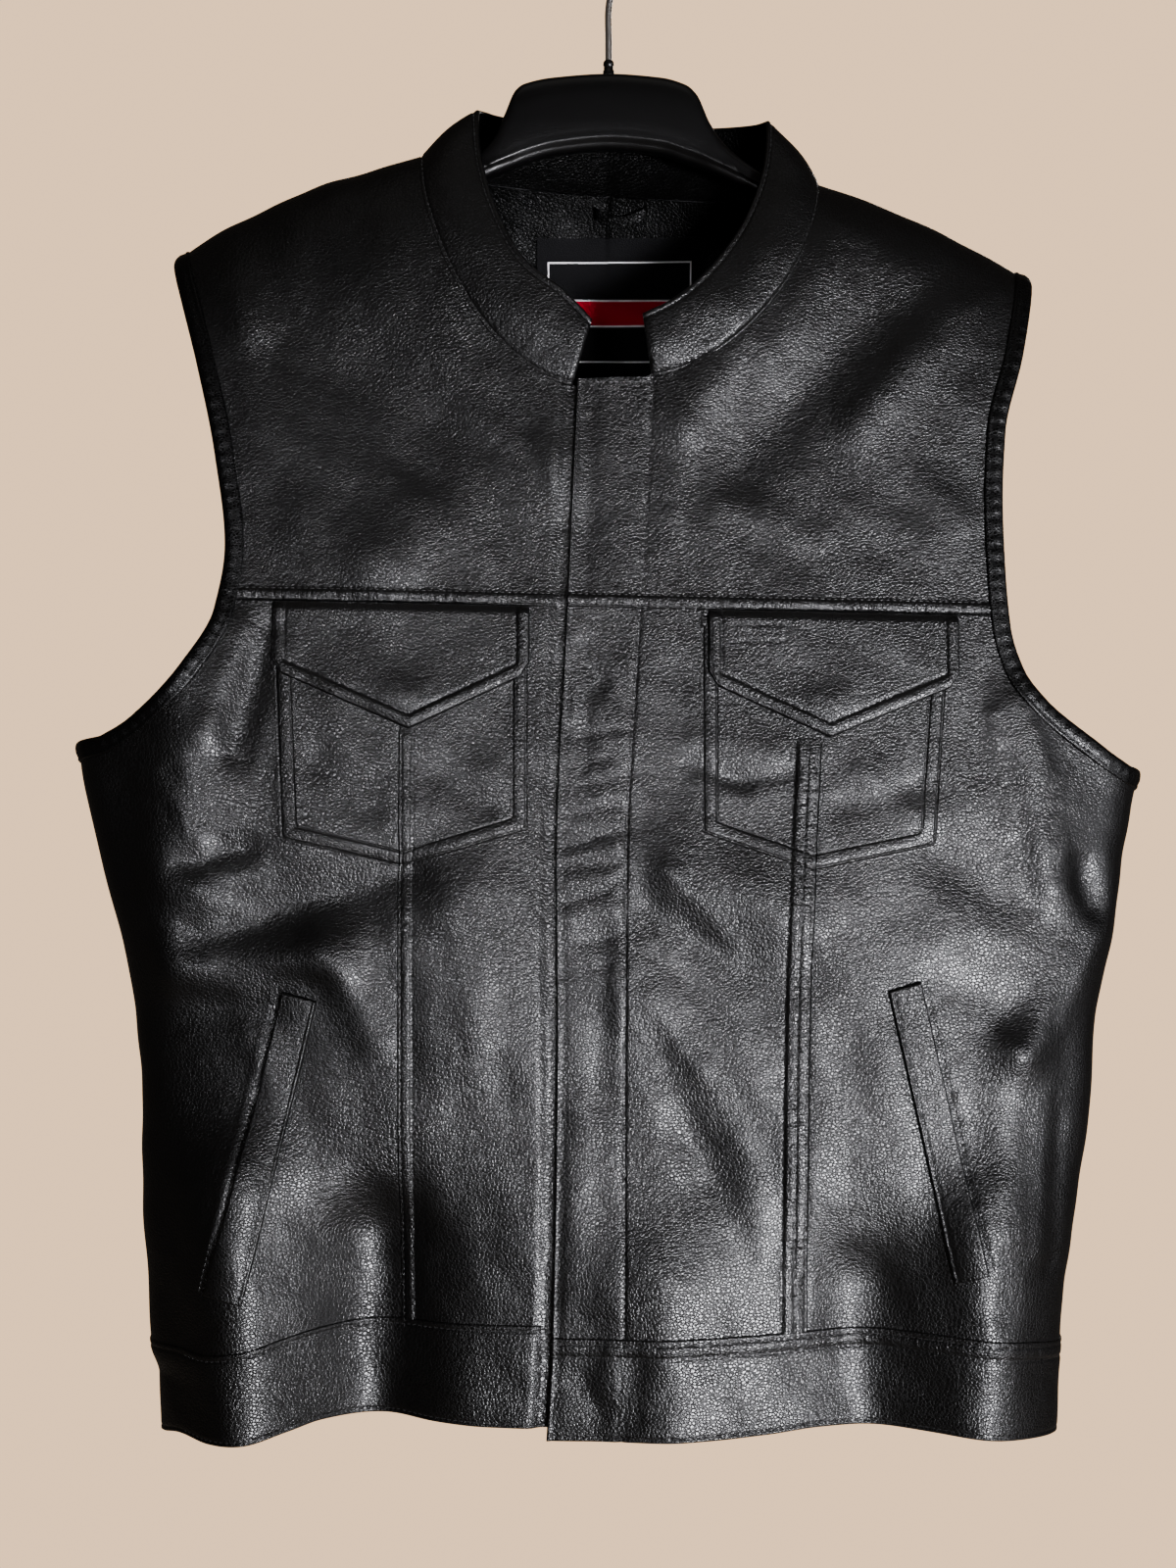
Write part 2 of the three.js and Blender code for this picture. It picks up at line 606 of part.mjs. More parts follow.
// Upper front, from the yoke seam to the shoulder and the neck
function yoke(side) {
  const panel = panelOf({
    side,
    bottom: (x) => yokeZ(x) + GAP / 2,
    top: (x) => shoulderZ(side, x),
    start: frontStart[side],
    end: panelEdge(side, "front"),
  });
  const edge = placketX(PLACKET_TOP);
  const hidden = [
    { x: edge + UNDERLAP_WIDTH, z: UNDERLAP_TOP.z },
    UNDERLAP_TOP,
  ];
  const free = [
    { x: edge, z: PLACKET_TOP },
    ...PLACKET_CORNERS.map(({ x, rise }) => ({ x, z: PLACKET_TOP + rise })),
  ];
  const neck = neckShares.map((share) => neckPlace(side, "front", share));
  const stations = [...(side === "right" ? hidden : free), ...neck, ...shoulderPlaces(side).slice(1)];
  const columns = columnsUnder(panel, "front", stations);
  const ridge = SEAM_RIDGE / YOKE_HEIGHT;
  const heights = sharesAt(panel, edgeHeights(side).yoke.slice(1, -1));
  const shares = [0, ridge * 0.85, ridge * 1.15, ...heights.filter((t) => t > ridge * 2), 1];
  const raise = frontFace(side, (place) => place.t < ridge);
  return wallOn(placesOn(panel, columns, shares), raise, frontInside(side));
}

// Lower front between the placket and the upright seam
function centreFront(side, lowerEdge = false) {
  const panel = panelOf({
    side,
    bottom: (x) => bandTopZ(x) + GAP / 2,
    top: (x) => yokeZ(x) - GAP / 2,
    start: frontStart[side],
    end: (z) => seamAngle(side, z, -GAP / 2),
  });
  const inner = {
    right: joined([0, 0.12, 0.24, 0.32], levels(0.32, 0.9, 5, "even")),
    left: levels(0, 0.9, 9, "even"),
  };
  const shares = [...inner[side], 0.935, 0.95, 1];
  const columns = columnsBetween(panel, shares);
  if (lowerEdge) return placesOn(panel, columns, [0])[0];
  const raise = frontFace(side, (place) => place.s > 0.94 && place.z < FLAP_CLEAR);
  return wallOn(placesOn(panel, columns, levels(0, 1, 23, "even")), raise, frontInside(side));
}

// Lower front between the upright seam and the side seam
function sideFront(side, lowerEdge = false) {
  const panel = panelOf({
    side,
    bottom: (x) => bandTopZ(x) + GAP / 2,
    top: (x) => yokeZ(x) - GAP / 2,
    start: (z) => seamAngle(side, z, GAP / 2),
    end: panelEdge(side, "front"),
  });
  const columns = columnsBetween(panel, levels(0, 1, 12, "even"));
  if (lowerEdge) return placesOn(panel, columns, [0])[0];
  const heights = edgeHeights(side);
  const inside = joined(heights.side, heights.armhole).slice(1, -1);
  const shares = [0, ...sharesAt(panel, inside), 1];
  return wallOn(placesOn(panel, columns, shares), () => 0, () => -SHELL);
}

// Places of the whole back, its right half and its left half on one grid.
// Each half is a part below the underarm and a part above it, which share a level row.
function backPlaces(lowerEdge = false) {
  const half = (side) => {
    const rows = ARMHOLE[side];
    const under = rows[rows.length - 1].z;
    const sides = { side, start: () => Math.PI, end: panelEdge(side, "back") };
    const lower = panelOf({ ...sides, bottom: (x) => bandTopZ(x) + GAP / 2, top: () => under });
    const upper = panelOf({ ...sides, bottom: () => under, top: (x) => shoulderZ(side, x) });
    const neck = BACK_NECK_SHARES.map((share) => neckPlace(side, "back", share));
    const above = columnsUnder(upper, "back", [...neck, ...shoulderPlaces(side).slice(1)]);
    const below = columnsBetween(lower, above.map((column) => column.s));
    if (lowerEdge) return placesOn(lower, below, [0]);
    const heights = edgeHeights(side);
    const seam = heights.side.filter((_, i) => i % 2 === 0).slice(1, -1);
    const armhole = joined(heights.armhole, heights.yoke).slice(0, -1);
    return [
      ...placesOn(lower, below, [0, ...sharesAt(lower, seam)]),
      ...placesOn(upper, above, [...sharesAt(upper, armhole), 1]),
    ];
  };
  const left = half("left");
  return half("right").map((row, j) => [...row.slice(1).reverse(), ...left[j]]);
}

// Waistband across one front, with its corners below those of the pieces above it
function frontBand(side) {
  const panel = panelOf({
    side,
    bottom: hemZ,
    top: (x) => bandTopZ(x) - GAP / 2,
    start: frontStart[side],
    end: (z) => sideAngle(side, z) - GAP / 2 / depthAt.front(z),
  });
  const above = [...centreFront(side, true), ...sideFront(side, true).slice(1)];
  const shares = above.map((place) => shareOf(panel, "front", place, 1));
  shares[0] = 0;
  shares[shares.length - 1] = 1;
  const places = placesOn(panel, columnsBetween(panel, shares), levels(0, 1, 3, "even"));
  const low = (place) => (UNDERLAP + DOUBLE - SHELL) * underShare(side, place);
  return wallOn(places, (place) => BAND_PROUD - low(place), (place) => BAND_PROUD - DOUBLE - low(place));
}

// Waistband across the back
function backBand() {
  const half = (side) => {
    const panel = panelOf({
      side,
      bottom: hemZ,
      top: (x) => bandTopZ(x) - GAP / 2,
      start: () => Math.PI,
      end: (z) => sideAngle(side, z) + GAP / 2 / depthAt.back(z),
    });
    const above = backPlaces(true)[0].filter((place) => place.x * sideSign(side) > -1);
    const shares = above.map((place) => shareOf(panel, "back", place, 1)).sort((a, b) => a - b);
    shares[0] = 0;
    shares[shares.length - 1] = 1;
    return placesOn(panel, columnsBetween(panel, shares), levels(0, 1, 2, "even"));
  };
  const left = half("left");
  const places = half("right").map((row, j) => [...row.slice(1).reverse(), ...left[j]]);
  return wallOn(places, () => BAND_PROUD, () => BAND_PROUD - DOUBLE);
}

// Stand collar, from its seam on the neckline to its free edge
function collar() {
  const onSeam = (side, face, share) => {
    const { x, z } = neckPlace(side, face, share);
    if (share === 1) return new THREE.Vector3(x, 0, z);
    return face === "front" ? onFront(side, x, z).p : onBack(side, x, z).p;
  };
  const quarter = (quarterSide, face, shares, alongAt) =>
    shares.map((share) => ({ along: alongAt(share), p: onSeam(quarterSide, face, share) }));
  const backDown = [...BACK_NECK_SHARES].reverse();
  const frontDown = [...neckShares].reverse();
  const stations = joined(
    quarter("right", "front", neckShares, (share) => share),
    quarter("right", "back", backDown, (share) => 2 - share),
    quarter("left", "back", BACK_NECK_SHARES, (share) => 2 + share),
    quarter("left", "front", frontDown, (share) => 4 - share),
  );
  const edge = ["x", "y", "z"].map((axis) => curveOf(COLLAR_EDGE, "along", axis));
  const middle = new THREE.Vector3(COLLAR_MIDDLE.x, 0, COLLAR_MIDDLE.z);
  const ends = stations.map(({ along, p }) => {
    const free = new THREE.Vector3(...edge.map((curve) => curve(along)));
    const up = free.clone().sub(p);
    const low = p.clone().addScaledVector(up.clone().normalize(), COLLAR_LIFT);
    return { low, free };
  });
  const rise = [0, 0.3, 0.65, 1];
  const outer = [];
  const inner = [];
  for (const t of rise) {
    const line = ends.map(({ low, free }) => low.clone().lerp(free, t));
    const facing = line.map((p, i) => {
      const along = line[Math.min(i + 1, line.length - 1)].clone().sub(line[Math.max(i - 1, 0)]);
      const out = along.cross(ends[i].free.clone().sub(ends[i].low)).normalize();
      return out.dot(ends[i].low.clone().sub(middle)) < 0 ? out.negate() : out;
    });
    const bowed = line.map((p, i) => p.addScaledVector(facing[i], COLLAR_BOW * Math.sin(Math.PI * t)));
    outer.push(bowed);
    inner.push(bowed.map((p, i) => p.clone().addScaledVector(facing[i], -DOUBLE)));
  }
  return wallGeometry(outer, inner);
}

// Rolled binding all round an armhole, an oval section that closes on itself
function binding(side) {
  const { yoke, armhole } = edgeHeights(side);
  const heights = joined(armhole, yoke).reverse();
  const hole = new THREE.Vector3(sideSign(side) * ARMHOLE_MIDDLE.x, 0, ARMHOLE_MIDDLE.z);
  const seam = (face) => {
    const edge = panelEdge(side, face);
    return heights.map((z, i) => {
      const under = i === heights.length - 1;
      const place = bodyPoint(side, under ? Math.PI / 2 : edge(z), z);
      if (i === 0) place.p.y = 0;
      return place;
    });
  };
  const ring = [...seam("front"), ...seam("back").slice(1, -1).reverse()];
  const sides = 8;
  const positions = [];
  ring.forEach(({ p, n }, j) => {
    const along = ring[(j + 1) % ring.length].p.clone().sub(ring.at(j - 1).p);
    const out = n.clone().cross(along).normalize();
    if (out.dot(hole.clone().sub(p)) < 0) out.negate();
    const centre = p.clone().addScaledVector(out, GAP + BINDING / 2);
    for (let k = 0; k < sides; k++) {
      const angle = (2 * Math.PI * (k + 0.5)) / sides;
      const wide = (signedPower(Math.cos(angle), 0.7) * BINDING) / 2;
      const thick = (signedPower(Math.sin(angle), 0.7) * BINDING_THICK) / 2;
      const corner = centre.clone().addScaledVector(out, wide).addScaledVector(n, thick - SHELL / 2);
      positions.push(corner.x, corner.y, corner.z);
    }
  });
  const faces = [];
  const count = ring.length;
  for (let j = 0; j < count; j++) {
    for (let k = 0; k < sides; k++) {
      const a = j * sides + k;
      const b = j * sides + ((k + 1) % sides);
      const c = ((j + 1) % count) * sides + ((k + 1) % sides);
      const d = ((j + 1) % count) * sides + k;
      faces.push(a, b, c, a, c, d);
    }
  }
  return outwards(positions, faces);
}

// Pointed pocket flap lying on a front, with a raised rim and the bulge of its hidden snap
function flap(side) {
  const f = FLAPS[side];
  const across = [0, 0.045, 0.06, 0.2, 0.35, 0.45, 0.53, 0.61, 0.75, 0.88, 0.94, 0.955, 1];
  const down = [0, 0.25, 0.5, 0.7, 0.84, 0.9, 1];
  const places = down.map((t) =>
    across.map((s) => {
      const x = mix(f.x1, f.x2, s);
      const towards = x < f.tipX ? (x - f.x1) / (f.tipX - f.x1) : (f.x2 - x) / (f.x2 - f.tipX);
      const corner = FLAP_CORNER * (1 - soft(towards / 0.09));
      const low = mix(x < f.tipX ? f.side1 : f.side2, f.tipZ, towards) + corner;
      const z = mix(yokeZ(x) - GAP, low, t);
      const rim = Math.min(x - f.x1, f.x2 - x, (z - low) * 0.92);
      const snap = ((x - f.tipX) / SNAP.wide) ** 2 + ((z - f.tipZ - SNAP.above) / SNAP.high) ** 2;
      return { rim, snap, ...onFront(side, x, z) };
    }),
  );
  const raise = (place) => {
    const edge = place.rim < FLAP_RIM ? FLAP_EDGE : 0;
    return FLAP_UNDER + FLAP_THICK + edge + SNAP.bulge * Math.exp(-place.snap);
  };
  return wallOn(places, raise, () => FLAP_UNDER);
}

// Slanted welt of a hand pocket
function welt(side) {
  const w = WELTS[side];
  const places = levels(0, 1, 13, "even").map((t) =>
    [-0.5, -0.38, 0, 0.38, 0.5].map((s) => {
      const x = mix(w.topX, w.bottomX, t) + s * w.width;
      const z = mix(w.topZ, w.bottomZ, t) + sideSign(side) * s * WELT_SLOPE;
      return { s, ...onFront(side, x, z) };
    }),
  );
  const raise = (place) => WELT_UNDER + WELT_THICK - (Math.abs(place.s) > 0.45 ? WELT_EDGE : 0);
  return wallOn(places, raise, () => WELT_UNDER);
}

// Leather facing inside the back of the neck, parallel to the back it is sewn to
function facing() {
  const inside = backPlaces()
    .map((row) => row.filter((place, i) => Math.abs(i - (row.length - 1) / 2) <= 4))
    .filter((row) => row[Math.floor(row.length / 2)].z > FACING.bottom && row[0].t < 0.995);
  const near = -SHELL - GAP;
  return wallOn(inside, () => near, () => near - FACING.thick);
}

// Woven label on the facing, left blank
function label() {
  const { x1, x2, top, bottom, thick, clear } = LABEL;
  const places = levels(0, 1, 6, "even").map((t) =>
    levels(0, 1, 6, "even").map((s) => {
      const x = mix(x1, x2, s);
      return onBack(x < 0 ? "right" : "left", x, mix(top, bottom, t));
    }),
  );
  const near = -SHELL - FACING.thick - 2 * GAP - clear;
  return wallOn(places, () => near, () => near - thick);
}

// Hanging loop of narrow leather below the back neck seam
function loop() {
  const near = -SHELL - FACING.thick - 2 * GAP - LOOP.clear;
  const places = [0, 1].map((t) =>
    levels(0, 1, 10, "even").map((s) => {
      const x = LOOP.x + (s - 0.5) * LOOP.width;
      const z = LOOP.z - LOOP.strap * t - LOOP.sag * Math.sin(Math.PI * s);
      return { s, ...onBack(x < 0 ? "right" : "left", x, z) };
    }),
  );
  const away = (place) => near - LOOP.stand * Math.sin(Math.PI * place.s) ** 0.5;
  return wallOn(places, away, (place) => away(place) - LOOP.thick);
}

// Broad hanger: oval sections from end to end, its arms just below the leather
function hangerBody() {
  const topAt = (row) => {
    if (row.top) return row.top;
    const side = row.x < 0 ? "right" : "left";
    const slope = (shoulderZ(side, row.x + 1) - shoulderZ(side, row.x - 1)) / 2;
    return shoulderZ(side, row.x) - (SHELL + HANGER_SEAT) * Math.hypot(1, slope);
  };
  const table = HANGER.map((row) => ({ ...row, top: topAt(row) }));
  const curves = ["top", "bottom", "thick"].map((name) => curveOf(table, "x", name));
  const first = table[0].x;
  const last = table.at(-1).x;
  const shoulders = ["right", "left"].flatMap((side) => shoulderPlaces(side).map((place) => place.x));
  const stations = [...new Set([...table.map((row) => row.x), ...shoulders])]
    .filter((x) => x >= first && x <= last)
    .sort((a, b) => a - b);
  const sides = 12;
  const positions = [];
  for (const x of stations) {
    const [top, bottom, thick] = curves.map((curve) => curve(x));
    const end = Math.min(x - first, last - x);
    const close = Math.sqrt(1 - (1 - Math.min(end / HANGER_END, 1)) ** 2) * 0.5 + 0.5;
    const middle = (top + bottom) / 2;
    for (let k = 0; k < sides; k++) {
      const angle = (2 * Math.PI * k) / sides;
      const y = signedPower(Math.sin(angle), 0.8) * thick * close;
      const z = middle + signedPower(Math.cos(angle), 0.8) * ((top - bottom) / 2) * close;
      positions.push(x, y, z);
    }
  }
  const count = stations.length;
  const faces = [];
  for (let j = 0; j < count - 1; j++) {
    for (let k = 0; k < sides; k++) {
      const a = j * sides + k;
      const b = j * sides + ((k + 1) % sides);
      faces.push(a, b, b + sides, a, b + sides, a + sides);
    }
  }
  const farRing = (count - 1) * sides;
  for (let k = 1; k < sides - 1; k++) {
    faces.push(0, k + 1, k, farRing, farRing + k, farRing + k + 1);
  }
  return outwards(positions, faces);
}

// Round wire: a shank, a bend to one side, and a crown over the rail
function hook() {
  const radius = HOOK + WIRE;
  const centreZ = WIRE - radius;
  const points = [
    new THREE.Vector3(0, 0, FERRULE.bottom + 0.9),
    new THREE.Vector3(0, 0, -72),
    new THREE.Vector3(0, 0, -54),
    new THREE.Vector3(1.6, 0, -46.5),
  ];
  for (let i = 0; i <= CROWN.parts; i++) {
    const angle = THREE.MathUtils.degToRad(mix(CROWN.from, CROWN.to, i / CROWN.parts));
    points.push(new THREE.Vector3(radius * Math.cos(angle), 0, centreZ + radius * Math.sin(angle)));
  }
  const path = new THREE.CatmullRomCurve3(points, false, "centripetal");
  const section = new THREE.Shape();
  section.absarc(0, 0, WIRE, 0, 2 * Math.PI);
  return new THREE.ExtrudeGeometry(section, { extrudePath: path, steps: 56, curveSegments: 4 });
}

// Small collar where the hook's wire enters the hanger
function ferrule() {
  const { radius, bore, top, bottom } = FERRULE;
  const floor = bottom + 0.9;
  const profile = [
    new THREE.Vector2(bore, floor),
    new THREE.Vector2(radius, floor),
    new THREE.Vector2(radius, top - 2),
    new THREE.Vector2(radius - 0.6, top - 0.4),
    new THREE.Vector2(bore + 0.1, top),
    new THREE.Vector2(bore, floor),
  ];
  const geometry = new THREE.LatheGeometry(profile, 14);
  geometry.rotateX(Math.PI / 2);
  return geometry;
}

const LEATHER_LOOK = { color: 0x0c0c0e, roughness: 0.42, metalness: 0 };
const LOOKS = {
  leather: LEATHER_LOOK,
  trim: { ...LEATHER_LOOK, roughness: 0.36 },
  lining: { ...LEATHER_LOOK, roughness: 0.5 },
  label: { color: 0x08080a, roughness: 0.8, metalness: 0 },
  plastic: { color: 0x141416, roughness: 0.55, metalness: 0 },
  steel: { color: 0xb8b8ba, roughness: 0.3, metalness: 1 },
};

const vest = new THREE.Group();
function add(name, geometry, look) {
  const mesh = new THREE.Mesh(geometry, new THREE.MeshStandardMaterial(LOOKS[look]));
  mesh.name = name;
  vest.add(mesh);
}

for (const side of ["right", "left"]) {
  add(`yoke_${side}`, yoke(side), "leather");
  add(`front_centre_${side}`, centreFront(side), "leather");
  add(`front_side_${side}`, sideFront(side), "leather");
  add(`waistband_front_${side}`, frontBand(side), "leather");
  add(`armhole_binding_${side}`, binding(side), "trim");
  add(`pocket_flap_${side}`, flap(side), "leather");
  add(`pocket_welt_${side}`, welt(side), "leather");
}
add("back_panel", wallOn(backPlaces(), () => 0, () => -SHELL), "leather");
add("waistband_back", backBand(), "leather");
add("collar", collar(), "leather");
add("neck_facing", facing(), "lining");
add("neck_label", label(), "label");
add("hanging_loop", loop(), "trim");
add("hanger_body", hangerBody(), "plastic");
add("hanger_ferrule", ferrule(), "plastic");
add("hanger_hook", hook(), "steel");

export default vest;
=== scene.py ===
# Looks of a sleeveless leather vest that hangs on a broad clothes hanger.
# Tables and sizes are in millimetres, as the frame's source has them, and meshes are made in metres.
import math

import bmesh
import bpy
import numpy as np
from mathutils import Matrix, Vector


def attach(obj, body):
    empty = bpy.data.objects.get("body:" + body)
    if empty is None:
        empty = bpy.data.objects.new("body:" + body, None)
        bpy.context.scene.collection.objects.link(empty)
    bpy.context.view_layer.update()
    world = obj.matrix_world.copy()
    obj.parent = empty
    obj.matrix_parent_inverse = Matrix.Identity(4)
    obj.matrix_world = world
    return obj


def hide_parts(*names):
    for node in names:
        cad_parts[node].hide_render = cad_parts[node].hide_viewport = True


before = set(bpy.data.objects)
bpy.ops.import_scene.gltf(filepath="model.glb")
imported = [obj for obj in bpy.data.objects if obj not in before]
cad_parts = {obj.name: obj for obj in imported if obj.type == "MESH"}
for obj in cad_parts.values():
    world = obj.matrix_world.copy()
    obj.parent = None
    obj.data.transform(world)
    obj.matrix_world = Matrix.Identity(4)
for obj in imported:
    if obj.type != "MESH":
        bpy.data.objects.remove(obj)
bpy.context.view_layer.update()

MM = 0.001


def table(names, *rows):
    """Rows under named columns, as a dict of arrays."""
    return dict(zip(names.split(), np.array(rows, float).T))


# Leather and seams
SHELL = 1.6
DOUBLE = 2.6
GAP = 0.3
LAP = 0.3  # how far sewn pieces pass their seam, so that no light comes through
RIDGE_RISE = 0.9
UNDERLAP = 2.3
BAND_PROUD = 0.7
EDGE_ROUND = 0.9  # radius of a turned edge
SHARP_ANGLE = 60  # in degrees, above which an edge is shaded as sharp
LEATHER_COLOR = (0.0022, 0.0022, 0.0024)
GRAIN = 540  # pebbles of the leather's grain in a metre
GRAIN_FINE = 1500
STITCH_PITCH = 3.4
STITCH_LENGTH = 2.6
STITCH_RADIUS = 0.3

# Form of the hollow body
PLAN_ROUND = 4
SHOULDER_ROUND = 2.2
SHOULDER_DROP = 110

BODY_WIDTH = table(
    "z right left",
    (-822, 240, 240), (-790, 241, 241), (-775, 246, 242), (-750, 247, 244), (-700, 250, 251),
    (-640, 251, 259), (-600, 254, 261), (-560, 261, 270), (-520, 272, 275), (-490, 279, 281),
    (-460, 285, 286), (-420, 289, 289), (-370, 290, 290), (-100, 290, 290),
)
BODY_DEPTH = table(
    "z front back",
    (-822, 56, 46), (-760, 57, 47), (-650, 61, 48), (-560, 60, 49), (-460, 55, 50),
    (-380, 49, 49), (-300, 43, 48), (-200, 37, 46), (-100, 34, 44),
)
SHOULDER = table(
    "x right left",
    (0, -116, -119), (100, -134.5, -146), (120, -140.5, -152), (155, -150.5, -165),
    (193, -167, -183), (225, -185, -201), (240, -198, -214),
)
ARMHOLE = {
    "right": table(
        "z front back",
        (-187, 227.5, 227.5), (-252, 208.5, 211), (-301, 198, 202), (-351, 192, 197), (-386, 197, 202),
        (-420, 216, 219), (-444.5, 241, 242), (-460, 266, 266), (-467, 290, 290),
    ),
    "left": table(
        "z front back",
        (-198.5, 220.5, 220.5), (-246.5, 210, 212), (-289.5, 199, 203), (-330, 197, 201),
        (-365, 198, 202), (-395, 200.5, 204), (-420, 208, 211), (-438, 221.5, 223),
        (-462, 251.5, 252), (-475.5, 272.5, 272.5), (-482, 290, 290),
    ),
}
YOKE_ROW = 4  # row of the armhole tables beside which the yoke seam ends
BINDING = 10.4
BINDING_THICK = 5
SIDE_SEAM = table(
    "z right left",
    (-822, 16, 0), (-700, 20, 0), (-600, 12, 0), (-500, 2, 0), (-440, 0, 0),
)
NECK = {
    "right": {"end_x": -19, "end_z": -265, "shoulder_x": 102},
    "left": {"end_x": 22, "end_z": -260, "shoulder_x": 114},
}
NECK_ROUND = 1.7
YOKE_Z = -383.5
YOKE_SLOPE = -0.021
BAND_TOP = -761
BAND_TOP_SIDE = -772
BAND_TOP_SWEEP = 245  # how far from the middle the band's top seam reaches its side height
HEM = -811
HEM_SIDE = -821
HEM_SWEEP = 240
# Rise of the front waistband's top seam and hem, where the hung leather waves
BAND_WAVE = {
    "right": table(
        "x top hem",
        (-241, 0, 0), (-226, -1, 3), (-207, -4, -0.5), (-190, -3, -1.5), (-167, 1, 2), (-150, 3.4, 4.4),
        (-120, 4.4, 4), (-90, 4.4, 2.2), (-60, 4.4, 1), (-30, 4.4, 0.8),
    ),
    "left": table(
        "x top hem",
        (-40, -1.5, -5.4), (17, -1.5, -5), (45, -1.2, -4.4), (78, -0.6, -3), (109, 0.4, -0.4),
        (160, 1.5, 0), (200, 1.8, 0), (241, 0, 0),
    ),
}
SEAM_X_RIGHT = -109.5
SEAM_LEFT = table(
    "z x",
    (-775, 102.5), (-680, 103), (-600, 104), (-520, 107), (-440, 111), (-380, 113),
)
PLACKET_EDGE = table(
    "z x",
    (-820, -33), (-764, -30), (-600, -27.5), (-517, -28), (-384, -22.5), (-262, -17),
)
PLACKET_STITCH = table(
    "z x",
    (-820, 6.3), (-757, 7.5), (-600, 8), (-517, 8.6), (-425, 13.6), (-380, 16.5), (-262, 23),
)
PLACKET_TOP = -262.5
PLACKET_TOP_WIDTH = 37.5
UNDERLAP_WIDTH = 27
UNDERLAP_TOP = {"x": -6, "z": -268}  # where the right front's hidden edge bends to the neck
FLAPS = {
    "right": {"x1": -176.5, "x2": -41.7, "side1": -416, "side2": -418, "tip_x": -104.6, "tip_z": -447.5},
    "left": {"x1": 51.4, "x2": 182.5, "side1": -423, "side2": -424, "tip_x": 114.8, "tip_z": -452},
}
FLAP_THICK = 2.2
FLAP_RIM = 7
FLAP_UNDER = 0.6
FLAP_CLEAR = -455
FLAP_HEIGHT = 62
FLAP_CORNER = 5  # rise of a flap's side corners, which are cut off
SNAP = {"bulge": 1.8, "wide": 13, "high": 11, "above_tip": 19}
PEN_SLOT = {"x1": 65, "x2": 92.5, "top": -393, "bottom": -402}
WELTS = {
    "right": {"top_x": -160.5, "top_z": -586, "bottom_x": -198, "bottom_z": -741, "width": 18},
    "left": {"top_x": 152.7, "top_z": -581, "bottom_x": 187.2, "bottom_z": -732, "width": 17},
}
WELT_THICK = 2
WELT_UNDER = 1
WELT_LENGTH = 159
WELT_SKEW = 5  # how much lower one long edge of a welt lies than the other

# Stitched outline of each chest pocket, below its flap
POCKETS = {
    "right": table("x z", (-175, -395), (-170, -504), (-107.5, -518), (-43.4, -499), (-43.4, -395)),
    "left": table("x z", (48.9, -395), (48.9, -500.5), (105.3, -520), (168.7, -507), (177, -395)),
}
POCKET_ROWS = 7  # between the two rows of its stitching
POCKET_MIDDLE_Z = -440
POCKET_SHOWN_Z = -428  # above it a flap hides the stitching
POCKET_LEVEL_Z = -492  # below it the leather is gathered along the pocket's floor
POCKET_UPRIGHT_Z = -500  # and above this along its sides

# Folds that the frame's solids have
FRONT_FOLDS = table(
    "x1 z1 x2 z2 wide high",
    (-196, -818, -200, -690, 34, 20), (-122, -818, -118, -715, 30, -17), (-35, -818, -20, -730, 40, 3),
    (35, -818, 28, -740, 36, 10), (134, -818, 130, -740, 30, -12), (201, -818, 203, -715, 30, 17),
    (-225, -395, -226, -560, 24, 9), (-212, -557, -105, -521, 16, -7), (-228, -573, -140, -565, 15, 4.5),
    (-220, -592, -180, -592, 12, -2.5), (-222, -517, -190, -510, 8, -3), (-190, -396, -211, -448, 10, 3),
    (-181, -396, -196, -460, 9, -3), (-77, -542, -72, -603, 28, 4), (-149, -562, -121, -608, 12, 3),
    (-164, -237, -60, -323, 28, -3), (-120, -354, -38, -308, 28, 3), (-205, -208, -188, -232, 14, 3),
    (25, -543, 71, -571, 13, -4), (27, -613, 53, -678, 16, -3), (40, -522, 91, -542, 20, 4),
    (9, -578, 40, -629, 20, 3), (173, -512, 203, -536, 14, -5), (193, -581, 203, -597, 14, -5),
    (213, -437, 235, -527, 14, 4), (258, -559, 217, -614, 13, 6), (215, -620, 208, -681, 17, 5),
    (248, -520, 256, -541, 9, -5), (122, -182, 41, -281, 18, 3), (144, -222, 72, -310, 18, -3),
    (188, -222, 134, -284, 16, 3),
)
BACK_FOLDS = table(
    "x1 z1 x2 z2 wide high",
    (-150, -818, -140, -660, 34, 9), (-60, -818, -66, -690, 32, -7), (35, -818, 30, -640, 36, 8),
    (120, -818, 128, -700, 30, -7), (190, -818, 180, -620, 28, 8), (-170, -440, -60, -560, 26, 5),
    (175, -450, 70, -545, 26, 5), (-205, -480, -110, -600, 20, -4), (210, -500, 120, -610, 20, -4),
)

